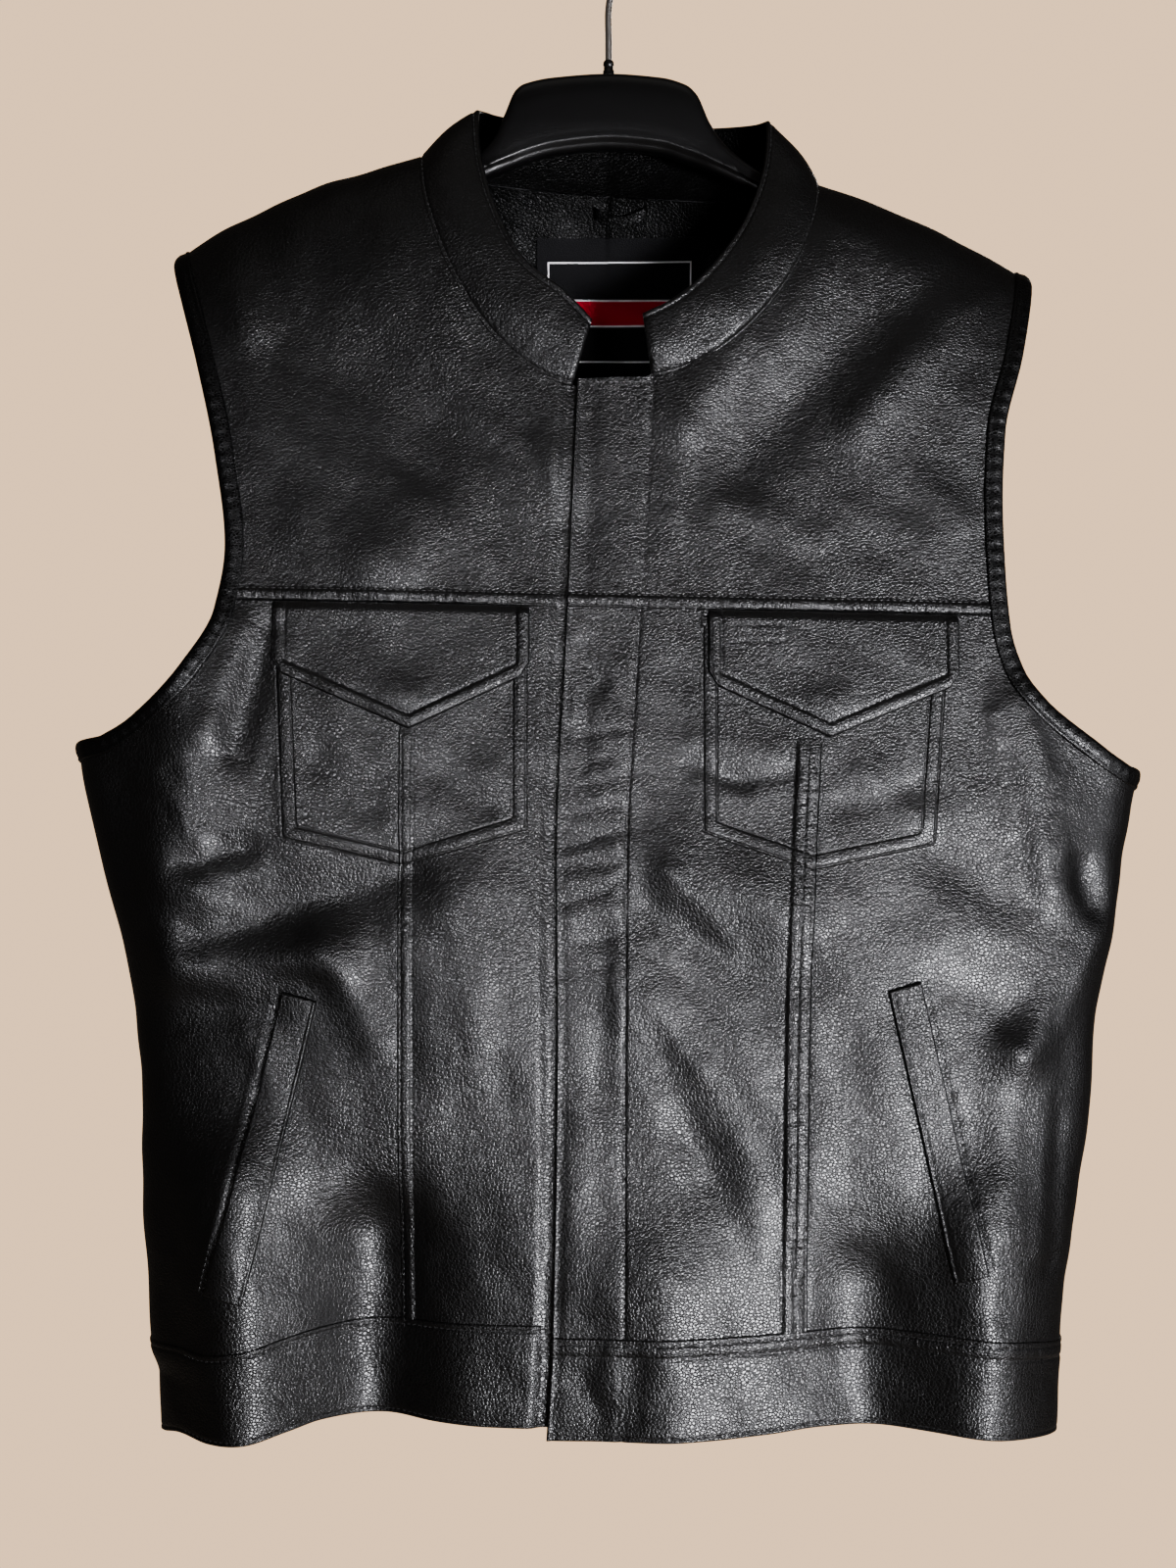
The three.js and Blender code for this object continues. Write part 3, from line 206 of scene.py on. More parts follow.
# Finer creases, which lie on those folds
FRONT_CREASES = table(
    "x1 z1 x2 z2 wide high",
    (25, -543, 71, -571, 14, 2.2), (193, -581, 203, -597, 15, 3.2), (173, -512, 203, -536, 15, 2.4),
    (-200, -553, -105, -521, 17, 2.6), (-196, -822, -196, -716, 20, 3), (-124, -822, -124, -716, 24, -2.4),
    (-24, -509, -4, -503, 2.4, -0.5), (-8, -503, 9, -500, 2.2, -0.4), (-26, -520, 4, -516, 2.6, -0.6),
    (-23, -538, -2, -531, 2.8, -0.6), (-2, -530, 9, -524, 2.4, -0.4), (-20, -514, 6, -508, 2.6, 0.4),
    (-22, -546, 2, -541, 5, 0.7), (-20, -527, 0, -524, 2.6, 0.35), (-18, -478, 12, -471, 2.4, -0.45),
    (-22, -492, 3, -487, 2.6, -0.45), (-10, -484, 10, -480, 2.2, 0.35), (-21, -467, -2, -463, 2.4, -0.35),
    (-20, -452, 10, -447, 2.6, -0.35), (-19, -560, 6, -553, 3.2, -0.45), (-24, -575, -2, -570, 3, -0.35),
    (-14, -404, -6, -424, 6, -1.4), (-22, -400, -20, -440, 4, 0.8),
    (-12, -430, -14, -470, 4, -0.8), (-11, -278, -14, -372, 6, -0.9), (-17, -275, -21, -378, 5, 0.7),
    (-14, -640, -20, -740, 8, 0.9), (-2, -560, -6, -640, 7, -0.7), (-16, -785, -4, -800, 6, -0.8),
    (14, -775, 12, -805, 5, -0.9), (0, -768, -2, -790, 5, 0.7), (-60, -775, -40, -798, 8, -0.6),
    (-228, -470, -204, -506, 5, -0.9), (-232, -488, -214, -520, 5, -0.8), (-206, -442, -196, -486, 6, 0.9),
    (-215, -530, -186, -546, 6, 0.9), (-240, -545, -222, -556, 5, 0.8), (-200, -572, -150, -580, 6, -0.9),
    (-190, -604, -172, -640, 7, 0.6), (-64, -470, -50, -530, 8, 0.6), (-96, -560, -88, -640, 9, 0.6),
    (-60, -590, -52, -660, 9, -0.6), (-92, -680, -96, -740, 9, 0.6), (-66, -640, -58, -735, 10, -0.5),
    (-150, -465, -132, -492, 9, -1.1), (-88, -470, -66, -486, 8, -0.7), (-160, -340, -110, -366, 10, 0.7),
    (-60, -345, -40, -372, 8, -0.7), (-100, -250, -60, -290, 9, 0.7), (-150, -200, -110, -250, 10, -0.7),
    (-190, -260, -160, -330, 10, 0.7), (-45, -290, -30, -340, 6, -0.6), (-130, -290, -90, -320, 8, -0.6),
    (42, -466, 70, -476, 5, -1.1), (62, -474, 96, -470, 5, -0.9), (46, -452, 84, -460, 7, 0.8),
    (120, -488, 165, -478, 8, -1.1), (130, -470, 160, -494, 7, 0.7), (30, -520, 66, -560, 6, 0.8),
    (24, -565, 60, -598, 6, -0.9), (20, -586, 46, -624, 6, 0.8), (60, -600, 90, -660, 9, 0.7),
    (38, -650, 66, -720, 9, -0.6), (70, -660, 88, -740, 9, 0.6), (130, -560, 146, -640, 9, 0.6),
    (120, -600, 128, -700, 9, -0.6), (206, -460, 222, -540, 5, -0.9), (222, -448, 244, -520, 5, 0.9),
    (232, -478, 252, -540, 5, -0.9), (200, -440, 208, -500, 5, 0.8), (246, -560, 232, -600, 5, -0.9),
    (226, -640, 224, -720, 6, 0.9), (236, -650, 232, -730, 5, -0.8), (198, -700, 206, -752, 7, -0.7),
    (100, -200, 52, -300, 8, -0.7), (170, -210, 120, -280, 9, -0.7), (60, -330, 110, -345, 9, 0.6),
    (150, -300, 185, -340, 9, 0.7), (40, -290, 30, -350, 7, 0.6), (100, -360, 150, -352, 8, -0.5),
)
BACK_CREASES = table(
    "x1 z1 x2 z2 wide high",
    (-210, -470, -150, -520, 7, -1.0), (-225, -490, -160, -560, 7, 0.9), (-230, -520, -190, -590, 6, -0.9),
    (215, -478, 160, -530, 7, -1.0), (228, -500, 170, -566, 7, 0.9), (232, -540, 196, -600, 6, -0.9),
    (-150, -300, -60, -360, 12, 0.8), (150, -310, 60, -370, 12, 0.8), (-120, -340, 110, -352, 10, -0.7),
    (-90, -520, -70, -640, 11, 0.7), (80, -510, 90, -660, 11, -0.7), (-20, -560, -10, -720, 12, 0.7),
    (-180, -240, -140, -330, 10, -0.8), (180, -250, 145, -330, 10, -0.8), (-40, -200, 50, -214, 9, -0.8),
    (-190, -650, -180, -740, 9, 0.8), (200, -640, 190, -745, 9, -0.8), (-110, -690, -100, -750, 9, -0.7),
)
ROLL_WAVES = (30, 47, 71)  # wavelengths of the skin's own slight unevenness
ROLL_HEIGHT = 0.28

BACK_NECK = table("x z", (-102, -135.4), (-80, -140.5), (0, -147), (85, -152), (114, -150.6))
COLLAR_EDGE = table(
    "along x y z",
    (0, -9, -41, -231), (0.22, -24, -41, -215.5), (0.46, -45, -38, -198), (0.72, -62, -27, -163),
    (0.87, -69.5, -14, -131), (1, -71, -1, -108.7), (1.25, -66, 14, -106), (1.6, -43, 29, -106),
    (2, 2, 34, -109), (2.45, 52, 28, -111), (2.8, 81, 14, -112.5), (3, 86.7, -1, -114.5),
    (3.15, 84, -14, -139), (3.37, 73, -28, -173), (3.6, 50, -38, -206), (3.86, 32, -41, -221),
    (4, 17.5, -41, -228),
)
COLLAR_LIFT = -1.2
COLLAR_BOW = 2.5
COLLAR_HEIGHT = 48
COLLAR_MIDDLE = (6, 0, -180)
ARMHOLE_MIDDLE = {"x": 290, "z": -320}

FACING = {"x1": -98.5, "x2": 110, "bottom": -256, "thick": 1.2}
LABEL = {"x1": -40, "x2": 55, "top": -169, "bottom": -249, "thick": 0.8, "clear": 0.3}
LOOP = {
    "x": 7, "z": -152, "width": 30, "strap": 6, "thick": 1.6, "stand": 3.4, "sag": 5, "clear": 0.5,
}

# A top of 0 lies just under the leather
HANGER = table(
    "x top bottom thick",
    (-222, 0, -211, 9), (-212, 0, -210, 11), (-180, 0, -197, 12), (-140, 0, -181, 12),
    (-118, 0, -171, 10), (-100, -141.5, -162, 8), (-84, -136.5, -155, 7.5), (-70, -132, -148.5, 7.5),
    (-62, -124, -145, 8), (-56, -111, -142.5, 8), (-51, -99.5, -140.5, 8), (-46, -95.5, -138.5, 8),
    (-30, -92, -134, 8), (0, -90, -131, 8), (28, -92, -133.5, 8), (42, -96, -138, 8),
    (48, -101.5, -140, 8), (55, -117, -143, 8), (64, -129.5, -147, 7.5), (80, -141.5, -155, 7.5),
    (98, -150, -166, 8), (112, -156, -175, 8), (128, 0, -183, 10), (150, 0, -192, 12),
    (185, 0, -209, 12), (207, 0, -220, 11), (215, 0, -221, 9),
)
HANGER_SEAT = 0.75
HANGER_LEDGE = {"high": 4.2, "deep": 1.3}
HANGER_END = 7  # rounded length at the tip of each arm
WIRE = 1.8
HOOK = 19
FERRULE = {"radius": 3.1, "bore": 2.1, "top": -82, "bottom": -90.6}
FLOOR = {"radius": 1850, "z": -1600}

# Distances between the points of the finer meshes, and the lengths over which they are spread
FINE = 2.0
COARSE = 3.6
SEAM_STEP = 0.7
YOKE_HEIGHT = 190
FRONT_HEIGHT = 378
CENTRE_FRONT = {"right": {"width": 114, "ridge": 9}, "left": {"width": 137, "ridge": 15}}
SIDE_FRONT_WIDTH = 178
FRONT_BAND_LENGTH = 300
HALF_BACK_BAND_LENGTH = 270
BAND_HEIGHT = 50
BACK_HEIGHTS = {"low": 300, "high": 320}  # below and above the armholes' lowest point

# Rows of stitches: their distances from the edge or seam beside them
HEM_ROW = 2.4
BAND_ROW = 3
LEFT_BAND_ROW = 9.5  # a second row on the left front's part of the band
ROW_REACH = 222  # how far the rows of the band go from the middle
COLLAR_TOP_ROW = 3.2
COLLAR_SEAM_ROW = 2.6


def mix(a, b, t):
    return a + (b - a) * t


def soft(t):
    c = np.clip(t, 0, 1)
    return c * c * (3 - 2 * c)


def signed_power(v, p):
    return np.sign(v) * np.abs(v) ** p


def hump(distance, wide):
    return np.exp(-((distance / wide) ** 2))


def side_sign(side):
    return 1 if side == "left" else -1


def curve_of(rows, key, value):
    """A smooth curve through a table's rows that never overshoots them."""
    order = np.argsort(rows[key])
    at, out = rows[key][order], rows[value][order]
    rise = np.diff(out) / np.diff(at)
    slope = np.concatenate([rise[:1], np.zeros(len(rise) - 1), rise[-1:]])
    before, after = rise[:-1], rise[1:]
    same = before * after > 0
    slope[1:-1][same] = (2 * before * after)[same] / (before + after)[same]

    def value_at(v):
        c = np.clip(v, at[0], at[-1])
        i = np.clip(np.searchsorted(at, c, side="right") - 1, 0, len(rise) - 1)
        span = at[i + 1] - at[i]
        t = (c - at[i]) / span
        keep = (1 + 2 * t) * (1 - t) ** 2
        lean = t * (1 - t) ** 2 * slope[i] - t * t * (1 - t) * slope[i + 1]
        return keep * out[i] + (1 - keep) * out[i + 1] + lean * span

    return value_at


SIDES = ("right", "left")
width_at = {side: curve_of(BODY_WIDTH, "z", side) for side in SIDES}
shoulder_at = {side: curve_of(SHOULDER, "x", side) for side in SIDES}
seam_shift_at = {side: curve_of(SIDE_SEAM, "z", side) for side in SIDES}
depth_at = {face: curve_of(BODY_DEPTH, "z", face) for face in ("front", "back")}
seam_left_x = curve_of(SEAM_LEFT, "z", "x")
placket_x = curve_of(PLACKET_EDGE, "z", "x")
placket_stitch_x = curve_of(PLACKET_STITCH, "z", "x")
back_neck_z = curve_of(BACK_NECK, "x", "z")


def shoulder_z(side, x):
    return shoulder_at[side](np.abs(x))


def fold_height(folds, x, z):
    """Sum of soft ridges and troughs, each round a stretch from one place to another."""
    total = np.zeros(np.broadcast(x, z).shape)
    for x1, z1, x2, z2, wide, high in zip(*folds.values()):
        dx, dz = x2 - x1, z2 - z1
        t = np.clip(((x - x1) * dx + (z - z1) * dz) / (dx * dx + dz * dz), 0, 1)
        far = (x - x1 - t * dx) ** 2 + (z - z1 - t * dz) ** 2
        total += high * np.exp(-far / wide**2)
    return total


def full_depth(front, x, z):
    ahead = depth_at["front"](z) + fold_height(FRONT_FOLDS, x, z)
    behind = depth_at["back"](z) + fold_height(BACK_FOLDS, x, z)
    return np.where(front, ahead, behind)


def shoulder_share(side, x, z):
    return 1 - signed_power(1 - np.minimum((shoulder_z(side, x) - z) / SHOULDER_DROP, 1), SHOULDER_ROUND)


def body_field(side, front, x, y, z):
    """Zero on the body's surface, less inside and more outside."""
    side_share = 1 - (np.abs(x) / width_at[side](z)) ** PLAN_ROUND
    held = signed_power(side_share, SHOULDER_ROUND / PLAN_ROUND) * shoulder_share(side, x, z)
    return np.abs(y / full_depth(front, x, z)) ** SHOULDER_ROUND - held


def body_normal(side, front, p):
    step = 0.05
    x, y, z = np.moveaxis(p, -1, 0)
    parts = []
    for axis in range(3):
        d = [step if axis == k else 0 for k in range(3)]
        ahead = body_field(side, front, x + d[0], y + d[1], z + d[2])
        behind = body_field(side, front, x - d[0], y - d[1], z - d[2])
        parts.append(ahead - behind)
    n = np.stack(parts, -1)
    return n / np.maximum(np.linalg.norm(n, axis=-1, keepdims=True), 1e-12)


def angle_of(side, face, x, z):
    """Angle round the plan, from 0 at the middle of the front to 180 degrees behind."""
    u = np.clip(side_sign(side) * x / width_at[side](z), -1, 1)
    angle = np.arctan2(u, (1 - np.abs(u) ** PLAN_ROUND) ** (1 / PLAN_ROUND))
    return angle if face == "front" else math.pi - angle


def plan_radius(angle):
    c = np.abs(np.cos(angle)) ** PLAN_ROUND
    s = np.abs(np.sin(angle)) ** PLAN_ROUND
    return (c + s) ** (-1 / PLAN_ROUND)


def x_of_angle(side, angle, z):
    return side_sign(side) * width_at[side](z) * plan_radius(angle) * np.sin(angle)


def body_point(side, angle, z):
    """Points of the body's outer surface and their normals."""
    x = x_of_angle(side, angle, z)
    front = np.cos(angle) >= 0
    across = plan_radius(angle) * np.cos(angle)
    held = np.maximum(shoulder_share(side, x, z), 0) ** (1 / SHOULDER_ROUND)
    y = -full_depth(front, x, z) * held * across
    p = np.stack([x, y, z + 0 * x], -1)
    return p, body_normal(side, front, p)


def relief(front, x, z):
    """Fine creases and the slight unevenness of the skin, as height over the folds."""
    waves = 0
    for k, wave in enumerate(ROLL_WAVES):
        turn = 2.1 * k + 0.6
        u = x * math.cos(turn) + z * math.sin(turn)
        v = -x * math.sin(turn) + z * math.cos(turn)
        waves = waves + np.sin(2 * math.pi * u / wave + 1.7 * np.sin(v / wave)) * np.cos(v / wave * 2.3 + k)
    if not np.any(front):
        creases = fold_height(BACK_CREASES, x, z)
    elif np.all(front):
        creases = fold_height(FRONT_CREASES, x, z)
    else:
        creases = np.where(front, fold_height(FRONT_CREASES, x, z), fold_height(BACK_CREASES, x, z))
    return creases + ROLL_HEIGHT * waves


def side_angle(side, z):
    return math.pi / 2 - seam_shift_at[side](z) / depth_at["front"](z)


def panel_edge(side, face):
    """Angle of a panel's outer edge: the armhole seam, and the side seam below it."""
    rows = ARMHOLE[side]
    under = rows["z"][-1]
    sign = 1 if face == "front" else -1
    angles = {"z": rows["z"], "angle": angle_of(side, face, side_sign(side) * rows[face], rows["z"])}
    seam_angle = curve_of(angles, "z", "angle")

    def edge(z):
        limit = side_angle(side, z) + sign * LAP / depth_at[face](z)
        held = np.minimum(seam_angle(z), limit) if face == "front" else np.maximum(seam_angle(z), limit)
        return np.where(z <= under, limit, held)

    return edge


def yoke_z(x):
    return YOKE_Z + YOKE_SLOPE * x


def band_top_z(x, side=None):
    shift = curve_of(BAND_WAVE[side], "x", "top")(x) if side else 0
    return mix(BAND_TOP, BAND_TOP_SIDE, np.minimum(np.abs(x) / BAND_TOP_SWEEP, 1) ** 4) + shift


def hem_z(x, side=None):
    shift = curve_of(BAND_WAVE[side], "x", "hem")(x) if side else 0
    return mix(HEM, HEM_SIDE, np.minimum(np.abs(x) / HEM_SWEEP, 1) ** 4) + shift


def under_share(side, x, z):
    """How far a front lies below the body's surface, where it passes under the placket."""
    return 0 * x if side == "left" else soft((x - placket_x(z) + 10) / 7)


def front_start(side):
    shift = UNDERLAP_WIDTH if side == "right" else 0
    return lambda z: angle_of(side, "front", placket_x(z) + shift, z)


def seam_x(side, z):
    return SEAM_X_RIGHT + 0 * z if side == "right" else seam_left_x(z)


def seam_angle(side, shift):
    return lambda z: angle_of(side, "front", seam_x(side, z) + side_sign(side) * shift, z)


def steps(length, step, dense=()):
    """Shares of a length at even steps, and at finer ones in the dense stretches (from, to, step)."""
    places = set(np.round(np.linspace(0, length, max(int(round(length / step)), 1) + 1), 3))
    for start, stop, fine in dense:
        places = {p for p in places if not start < p < stop}
        places |= set(np.round(np.linspace(start, stop, max(int(round((stop - start) / fine)), 1) + 1), 3))
    ordered = sorted(places)
    kept = [ordered[0]]
    for p in ordered[1:]:
        if p - kept[-1] > 0.12:
            kept.append(p)
    kept[-1] = length
    return np.array(kept) / length


def settle(line, x_at):
    z = line(np.zeros(1))
    for _ in range(14):
        z = line(x_at(z))
    return z


class Panel:
    """A panel between a start and an end angle, and between two lines given by their height over x."""

    def __init__(self, side, face, bottom, top, start, end):
        self.side, self.face = side, face
        self.bottom, self.top = bottom, top
        self.start, self.end = start, end
        self.low = settle(bottom, lambda z: x_of_angle(side, end(z), z))
        self.high = settle(top, lambda z: x_of_angle(side, end(z), z))

    def angle_on(self, s, z, t):
        return mix(self.start(z), self.end(mix(self.low, self.high, t)), s)

    def share_of(self, x, z, t):
        first = self.angle_on(0, z, t)
        return (angle_of(self.side, self.face, x, z) - first) / (self.angle_on(1, z, t) - first)

    def meet(self, line, s, t):
        z = line(np.zeros(len(s)))
        for _ in range(14):
            z = line(x_of_angle(self.side, self.angle_on(s, z, t), z))
        return z

    def grid(self, shares, levels, stations=None):
        """Points and normals, by columns at shares or under stations, and rows at levels."""
        if stations is None:
            s = np.asarray(shares, float)
            top = self.meet(self.top, s, 1)
        else:
            x, top = stations
            s = self.share_of(x, top, 1)
        bottom = self.meet(self.bottom, s, 0)
        t = np.asarray(levels)[:, None]
        z = mix(bottom[None], top[None], t)
        angle = self.angle_on(s[None], z, t)
        p, n = body_point(self.side, angle, z)
        ridge = shoulder_z(self.side, p[..., 0]) - z < 0.02
        p[..., 1][ridge] = np.where(np.cos(angle) > 0, LAP, -LAP)[ridge]
        return p, n, np.cos(angle) >= 0


def distances(p):
    """Distance of each grid point to the start, end, bottom and top of its grid, along the grid."""
    across = np.linalg.norm(np.diff(p, axis=1), axis=-1).cumsum(1)
    across = np.concatenate([np.zeros((len(p), 1)), across], 1)
    up = np.linalg.norm(np.diff(p, axis=0), axis=-1).cumsum(0)
    up = np.concatenate([np.zeros((1, p.shape[1])), up], 0)
    return {"start": across, "end": across[:, -1:] - across, "bottom": up, "top": up[-1:] - up}


def rounding(p, edges, radius=EDGE_ROUND):
    """How far a turned edge falls away near the named edges of a grid."""
    far = distances(p)
    drop = np.zeros(p.shape[:2])
    for edge in edges.split():
        inside = np.clip(radius - far[edge], 0, radius)
        drop = np.maximum(drop, radius - np.sqrt(radius**2 - inside**2))
    return drop


def mesh_of(name, vertices, faces, materials, inner=None):
    """An object from points in millimetres. The range of inner faces has the second material."""
    mesh = bpy.data.meshes.new(name)
    faces = np.asarray(faces, np.int32)
    corners = faces.shape[1]
    mesh.vertices.add(len(vertices))
    mesh.vertices.foreach_set("co", (np.asarray(vertices) * MM).astype(np.float32).ravel())
    mesh.loops.add(faces.size)
    mesh.loops.foreach_set("vertex_index", faces.ravel())
    mesh.polygons.add(len(faces))
    mesh.polygons.foreach_set("loop_start", np.arange(0, faces.size, corners, dtype=np.int32))
    for material in materials:
        mesh.materials.append(material)
    if inner is not None:
        index = np.zeros(len(faces), np.int32)
        index[slice(*inner)] = 1
        mesh.polygons.foreach_set("material_index", index)
    mesh.update(calc_edges=True)
    mesh.validate()
    mesh.polygons.foreach_set("use_smooth", np.ones(len(mesh.polygons), bool))
    mesh.set_sharp_from_angle(angle=math.radians(SHARP_ANGLE))
    piece = bpy.data.objects.new(name, mesh)
    bpy.context.scene.collection.objects.link(piece)
    return piece


def point_values(piece, name, values, kind):
    """Stores a number or a vector for each point, which the leather's material reads."""
    store = piece.data.attributes.new(name, kind, "POINT")
    key = "vector" if kind == "FLOAT_VECTOR" else "value"
    store.data.foreach_set(key, np.ascontiguousarray(values, np.float32).ravel())


def grid_faces(rows, columns, offset=0, flip=False):
    j, i = np.meshgrid(np.arange(rows - 1), np.arange(columns - 1), indexing="ij")
    a = j * columns + i + offset
    quads = np.stack([a, a + 1, a + columns + 1, a + columns], -1).reshape(-1, 4)
    return quads[:, ::-1] if flip else quads


def wall(name, outer, inner, materials, hints=None):
    """A closed wall between an outer and an inner grid of points. Hints are values for each outer point."""
    rows, columns = outer.shape[:2]
    half = rows * columns
    face = grid_faces(rows, columns)
    back = grid_faces(rows, columns, half, flip=True)
    index = np.arange(half).reshape(rows, columns)
    border = np.concatenate([index[0, :-1], index[:-1, -1], index[-1, :0:-1], index[:0:-1, 0]])
    after = np.roll(border, -1)
    rim = np.stack([border, border + half, after + half, after], -1)
    faces = np.concatenate([face, back, rim])
    vertices = np.concatenate([outer.reshape(-1, 3), inner.reshape(-1, 3)])
    if signed_volume(vertices, faces) < 0:
        faces = faces[:, ::-1]
    piece = mesh_of(name, vertices, faces, materials, (len(face), len(face) + len(back)))
    for key, (values, kind) in (hints or {}).items():
        flat = np.asarray(values).reshape(half, -1)
        point_values(piece, key, np.concatenate([flat, flat]), kind)
    return piece


def signed_volume(vertices, faces):
    a, b, c, d = (vertices[faces[:, k]] for k in range(4))
    return np.einsum("ij,ij->", a, np.cross(b, c)) + np.einsum("ij,ij->", a, np.cross(c, d))


def tube_mesh(name, rings, materials, closed_along=False):
    """A closed surface over rings of points, with ends of one centre point unless it closes on itself."""
    count, sides = rings.shape[:2]
    vertices = rings.reshape(-1, 3)
    j, k = np.meshgrid(np.arange(count if closed_along else count - 1), np.arange(sides), indexing="ij")
    after_j, after_k = (j + 1) % count, (k + 1) % sides
    corners = [j * sides + k, j * sides + after_k, after_j * sides + after_k, after_j * sides + k]
    faces = np.stack(corners, -1).reshape(-1, 4)
    if signed_volume(vertices, faces) < 0:
        faces = faces[:, ::-1]
    piece = mesh_of(name, vertices, faces, materials)
    if not closed_along:
        cap_ends(piece, count, sides)
    return piece


def cap_ends(piece, count, sides):
    """Closes both ends of a tube with a fan round a centre point."""
    work = bmesh.new()
    work.from_mesh(piece.data)
    work.verts.ensure_lookup_table()
    corners = list(work.verts)
    for first in (0, (count - 1) * sides):
        ring = corners[first:first + sides]
        centre = work.verts.new(sum((v.co for v in ring), ring[0].co * 0) / sides)
        for k in range(sides):
            work.faces.new((ring[k], ring[(k + 1) % sides], centre))
    bmesh.ops.recalc_face_normals(work, faces=work.faces)
    for face in work.faces:
        face.smooth = True
    work.to_mesh(piece.data)
    work.free()


def moved(p, n, by):
    return p + n * by[..., None]


def unit(v):
    return v / np.maximum(np.linalg.norm(v, axis=-1, keepdims=True), 1e-9)


def lengths_along(points):
    """Length of a line from its first point to each of its points."""
    return np.concatenate([[0], np.linalg.norm(np.diff(points, axis=0), axis=1).cumsum()])


def places_along(at, lengths, values):
    """Values at given lengths along a line, one column for each of theirs."""
    return np.stack([np.interp(at, lengths, column) for column in values.T], 1)


class Tree:
    """Short calls for the nodes of one material."""

    def __init__(self, name):
        self.material = bpy.data.materials.new(name)
        self.material.use_nodes = True
        self.nodes = self.material.node_tree.nodes
        self.links = self.material.node_tree.links
        self.shader = self.nodes["Principled BSDF"]
        self.place = self.nodes.new("ShaderNodeTexCoord").outputs["Object"]

    def put(self, socket, value):
        if isinstance(value, bpy.types.NodeSocket):
            self.links.new(value, socket)
        else:
            socket.default_value = value

    def set(self, **values):
        """Sets sockets of the shader by name, with a space for each underscore."""
        for key, value in values.items():
            self.put(self.shader.inputs[key.replace("_", " ")], value)

    def add(self, kind, inputs, **settings):
        """Outputs of a new node, its inputs given in their order or by name in a dict."""
        node = self.nodes.new("ShaderNode" + kind)
        for key, value in settings.items():
            setattr(node, key, value)
        named = inputs if isinstance(inputs, dict) else dict(enumerate(inputs))
        for key, value in named.items():
            self.put(node.inputs[key], value)
        return node.outputs

    def math(self, operation, *values):
        return self.add("Math", values, operation=operation)[0]

    def vector(self, operation, *values):
        return self.add("VectorMath", values, operation=operation)[0]

    def noise(self, scale, detail=3.0, stretch=(1, 1, 1)):
        place = self.scaled(stretch)
        return self.add("TexNoise", {"Vector": place, "Scale": scale, "Detail": detail})["Fac"]

    def scaled(self, stretch, place=None):
        return self.vector("MULTIPLY", place or self.place, stretch)

    def bent(self, scale, amount):
        """The place shifted by noise, so that what is laid on it isn't regular."""
        color = self.add("TexNoise", {"Vector": self.place, "Scale": scale, "Detail": 1.0})["Color"]
        centred = self.vector("SUBTRACT", color, (0.5, 0.5, 0.5))
        return self.vector("MULTIPLY_ADD", centred, (amount, amount, amount), self.place)

    def cells(self, scale, place, feature="DISTANCE_TO_EDGE"):
        return self.add("TexVoronoi", {"Vector": place, "Scale": scale}, feature=feature)["Distance"]

    def range(self, value, low, high, to_low=0.0, to_high=1.0, smooth=False):
        kind = "SMOOTHSTEP" if smooth else "LINEAR"
        return self.add("MapRange", (value, low, high, to_low, to_high), interpolation_type=kind)[0]

    def blend(self, share, first, second):
        first, second = ((*c, 1) if isinstance(c, tuple) else c for c in (first, second))
        return self.add("Mix", {0: share, 6: first, 7: second}, data_type="RGBA")[2]

    def attribute(self, name, channel="Fac"):
        return self.add("Attribute", (), attribute_name=name)[channel]

    def split(self, vector):
        return self.add("SeparateXYZ", (vector,))

    def bump(self, height, distance, strength=1.0, under=None):
        inputs = {"Strength": strength, "Distance": distance, "Height": height}
        if under is not None:
            inputs["Normal"] = under
        return self.add("Bump", inputs)[0]

    def groove(self, distance, at, wide):
        """One near the place where a distance has that value, and zero away from it."""
        off = self.math("ABSOLUTE", self.math("SUBTRACT", distance, at))
        return self.range(off, 0.0, wide, 1.0, 0.0, smooth=True)


def leather(name, color, shine=0.29, grain=1.0, gloss=0.5, marked=False):
    """Pebbled leather, with painted shade in the valleys between its pebbles. Marked pieces have stored
    distances to pocket stitching and to gathered seams.
    """
    t = Tree(name)
    bent = t.bent(130, 0.0018)
    stretched = t.scaled((1.0, 1.0, 1.2), bent)
    valley = t.range(t.cells(GRAIN, stretched), 0.0, 0.2)
    middle = t.cells(GRAIN, stretched, "F1")
    dome = t.math("SUBTRACT", 1.0, t.math("MULTIPLY", middle, middle))
    fine = t.range(t.cells(GRAIN_FINE, bent), 0.0, 0.4, smooth=True)
    patch = t.noise(16, 3)
    depth = t.range(patch, 0.3, 0.7, 0.6 * grain, 1.0 * grain)
    height = t.math("MULTIPLY", t.math("ADD", t.math("MULTIPLY", valley, 0.8), dome), depth)
    height = t.math("MULTIPLY_ADD", fine, 0.1 * grain, height)
    height = t.math("MULTIPLY_ADD", t.noise(260, 2), 0.35 * grain, height)
    if marked:
        pocket = t.attribute("pocket")
        near = t.split(t.attribute("gather", "Vector"))
        for row in (0.0, -float(POCKET_ROWS)):
            height = t.math("MULTIPLY_ADD", t.groove(pocket, row, 1.1), -3.2, height)
        across = t.noise(1, 2, (270, 60, 75))
        along = t.noise(1, 2, (75, 60, 270))
        height = t.math("ADD", height, t.math("MULTIPLY", t.math("MULTIPLY", across, near[0]), 8.0))
        height = t.math("ADD", height, t.math("MULTIPLY", t.math("MULTIPLY", along, near[1]), 8.0))
    swell = t.bump(t.noise(60, 3), 0.002, 0.35)
    # deep is painted shade: the base colour is drawn darker in the valleys between the pebbles, where shade
    # falls. dark and light are the leather's random tone.
    deep, dark, light = (tuple(share * c for c in color) for share in (0.3, 0.8, 1.3))
    t.set(
        Base_Color=t.blend(valley, deep, t.blend(patch, dark, light)),
        Roughness=t.range(valley, 0.0, 1.0, shine + 0.22, shine),
        Normal=t.bump(height, 0.00013, 1.0, swell),
        IOR=1.5,
        Specular_IOR_Level=gloss,
    )
    return t.material


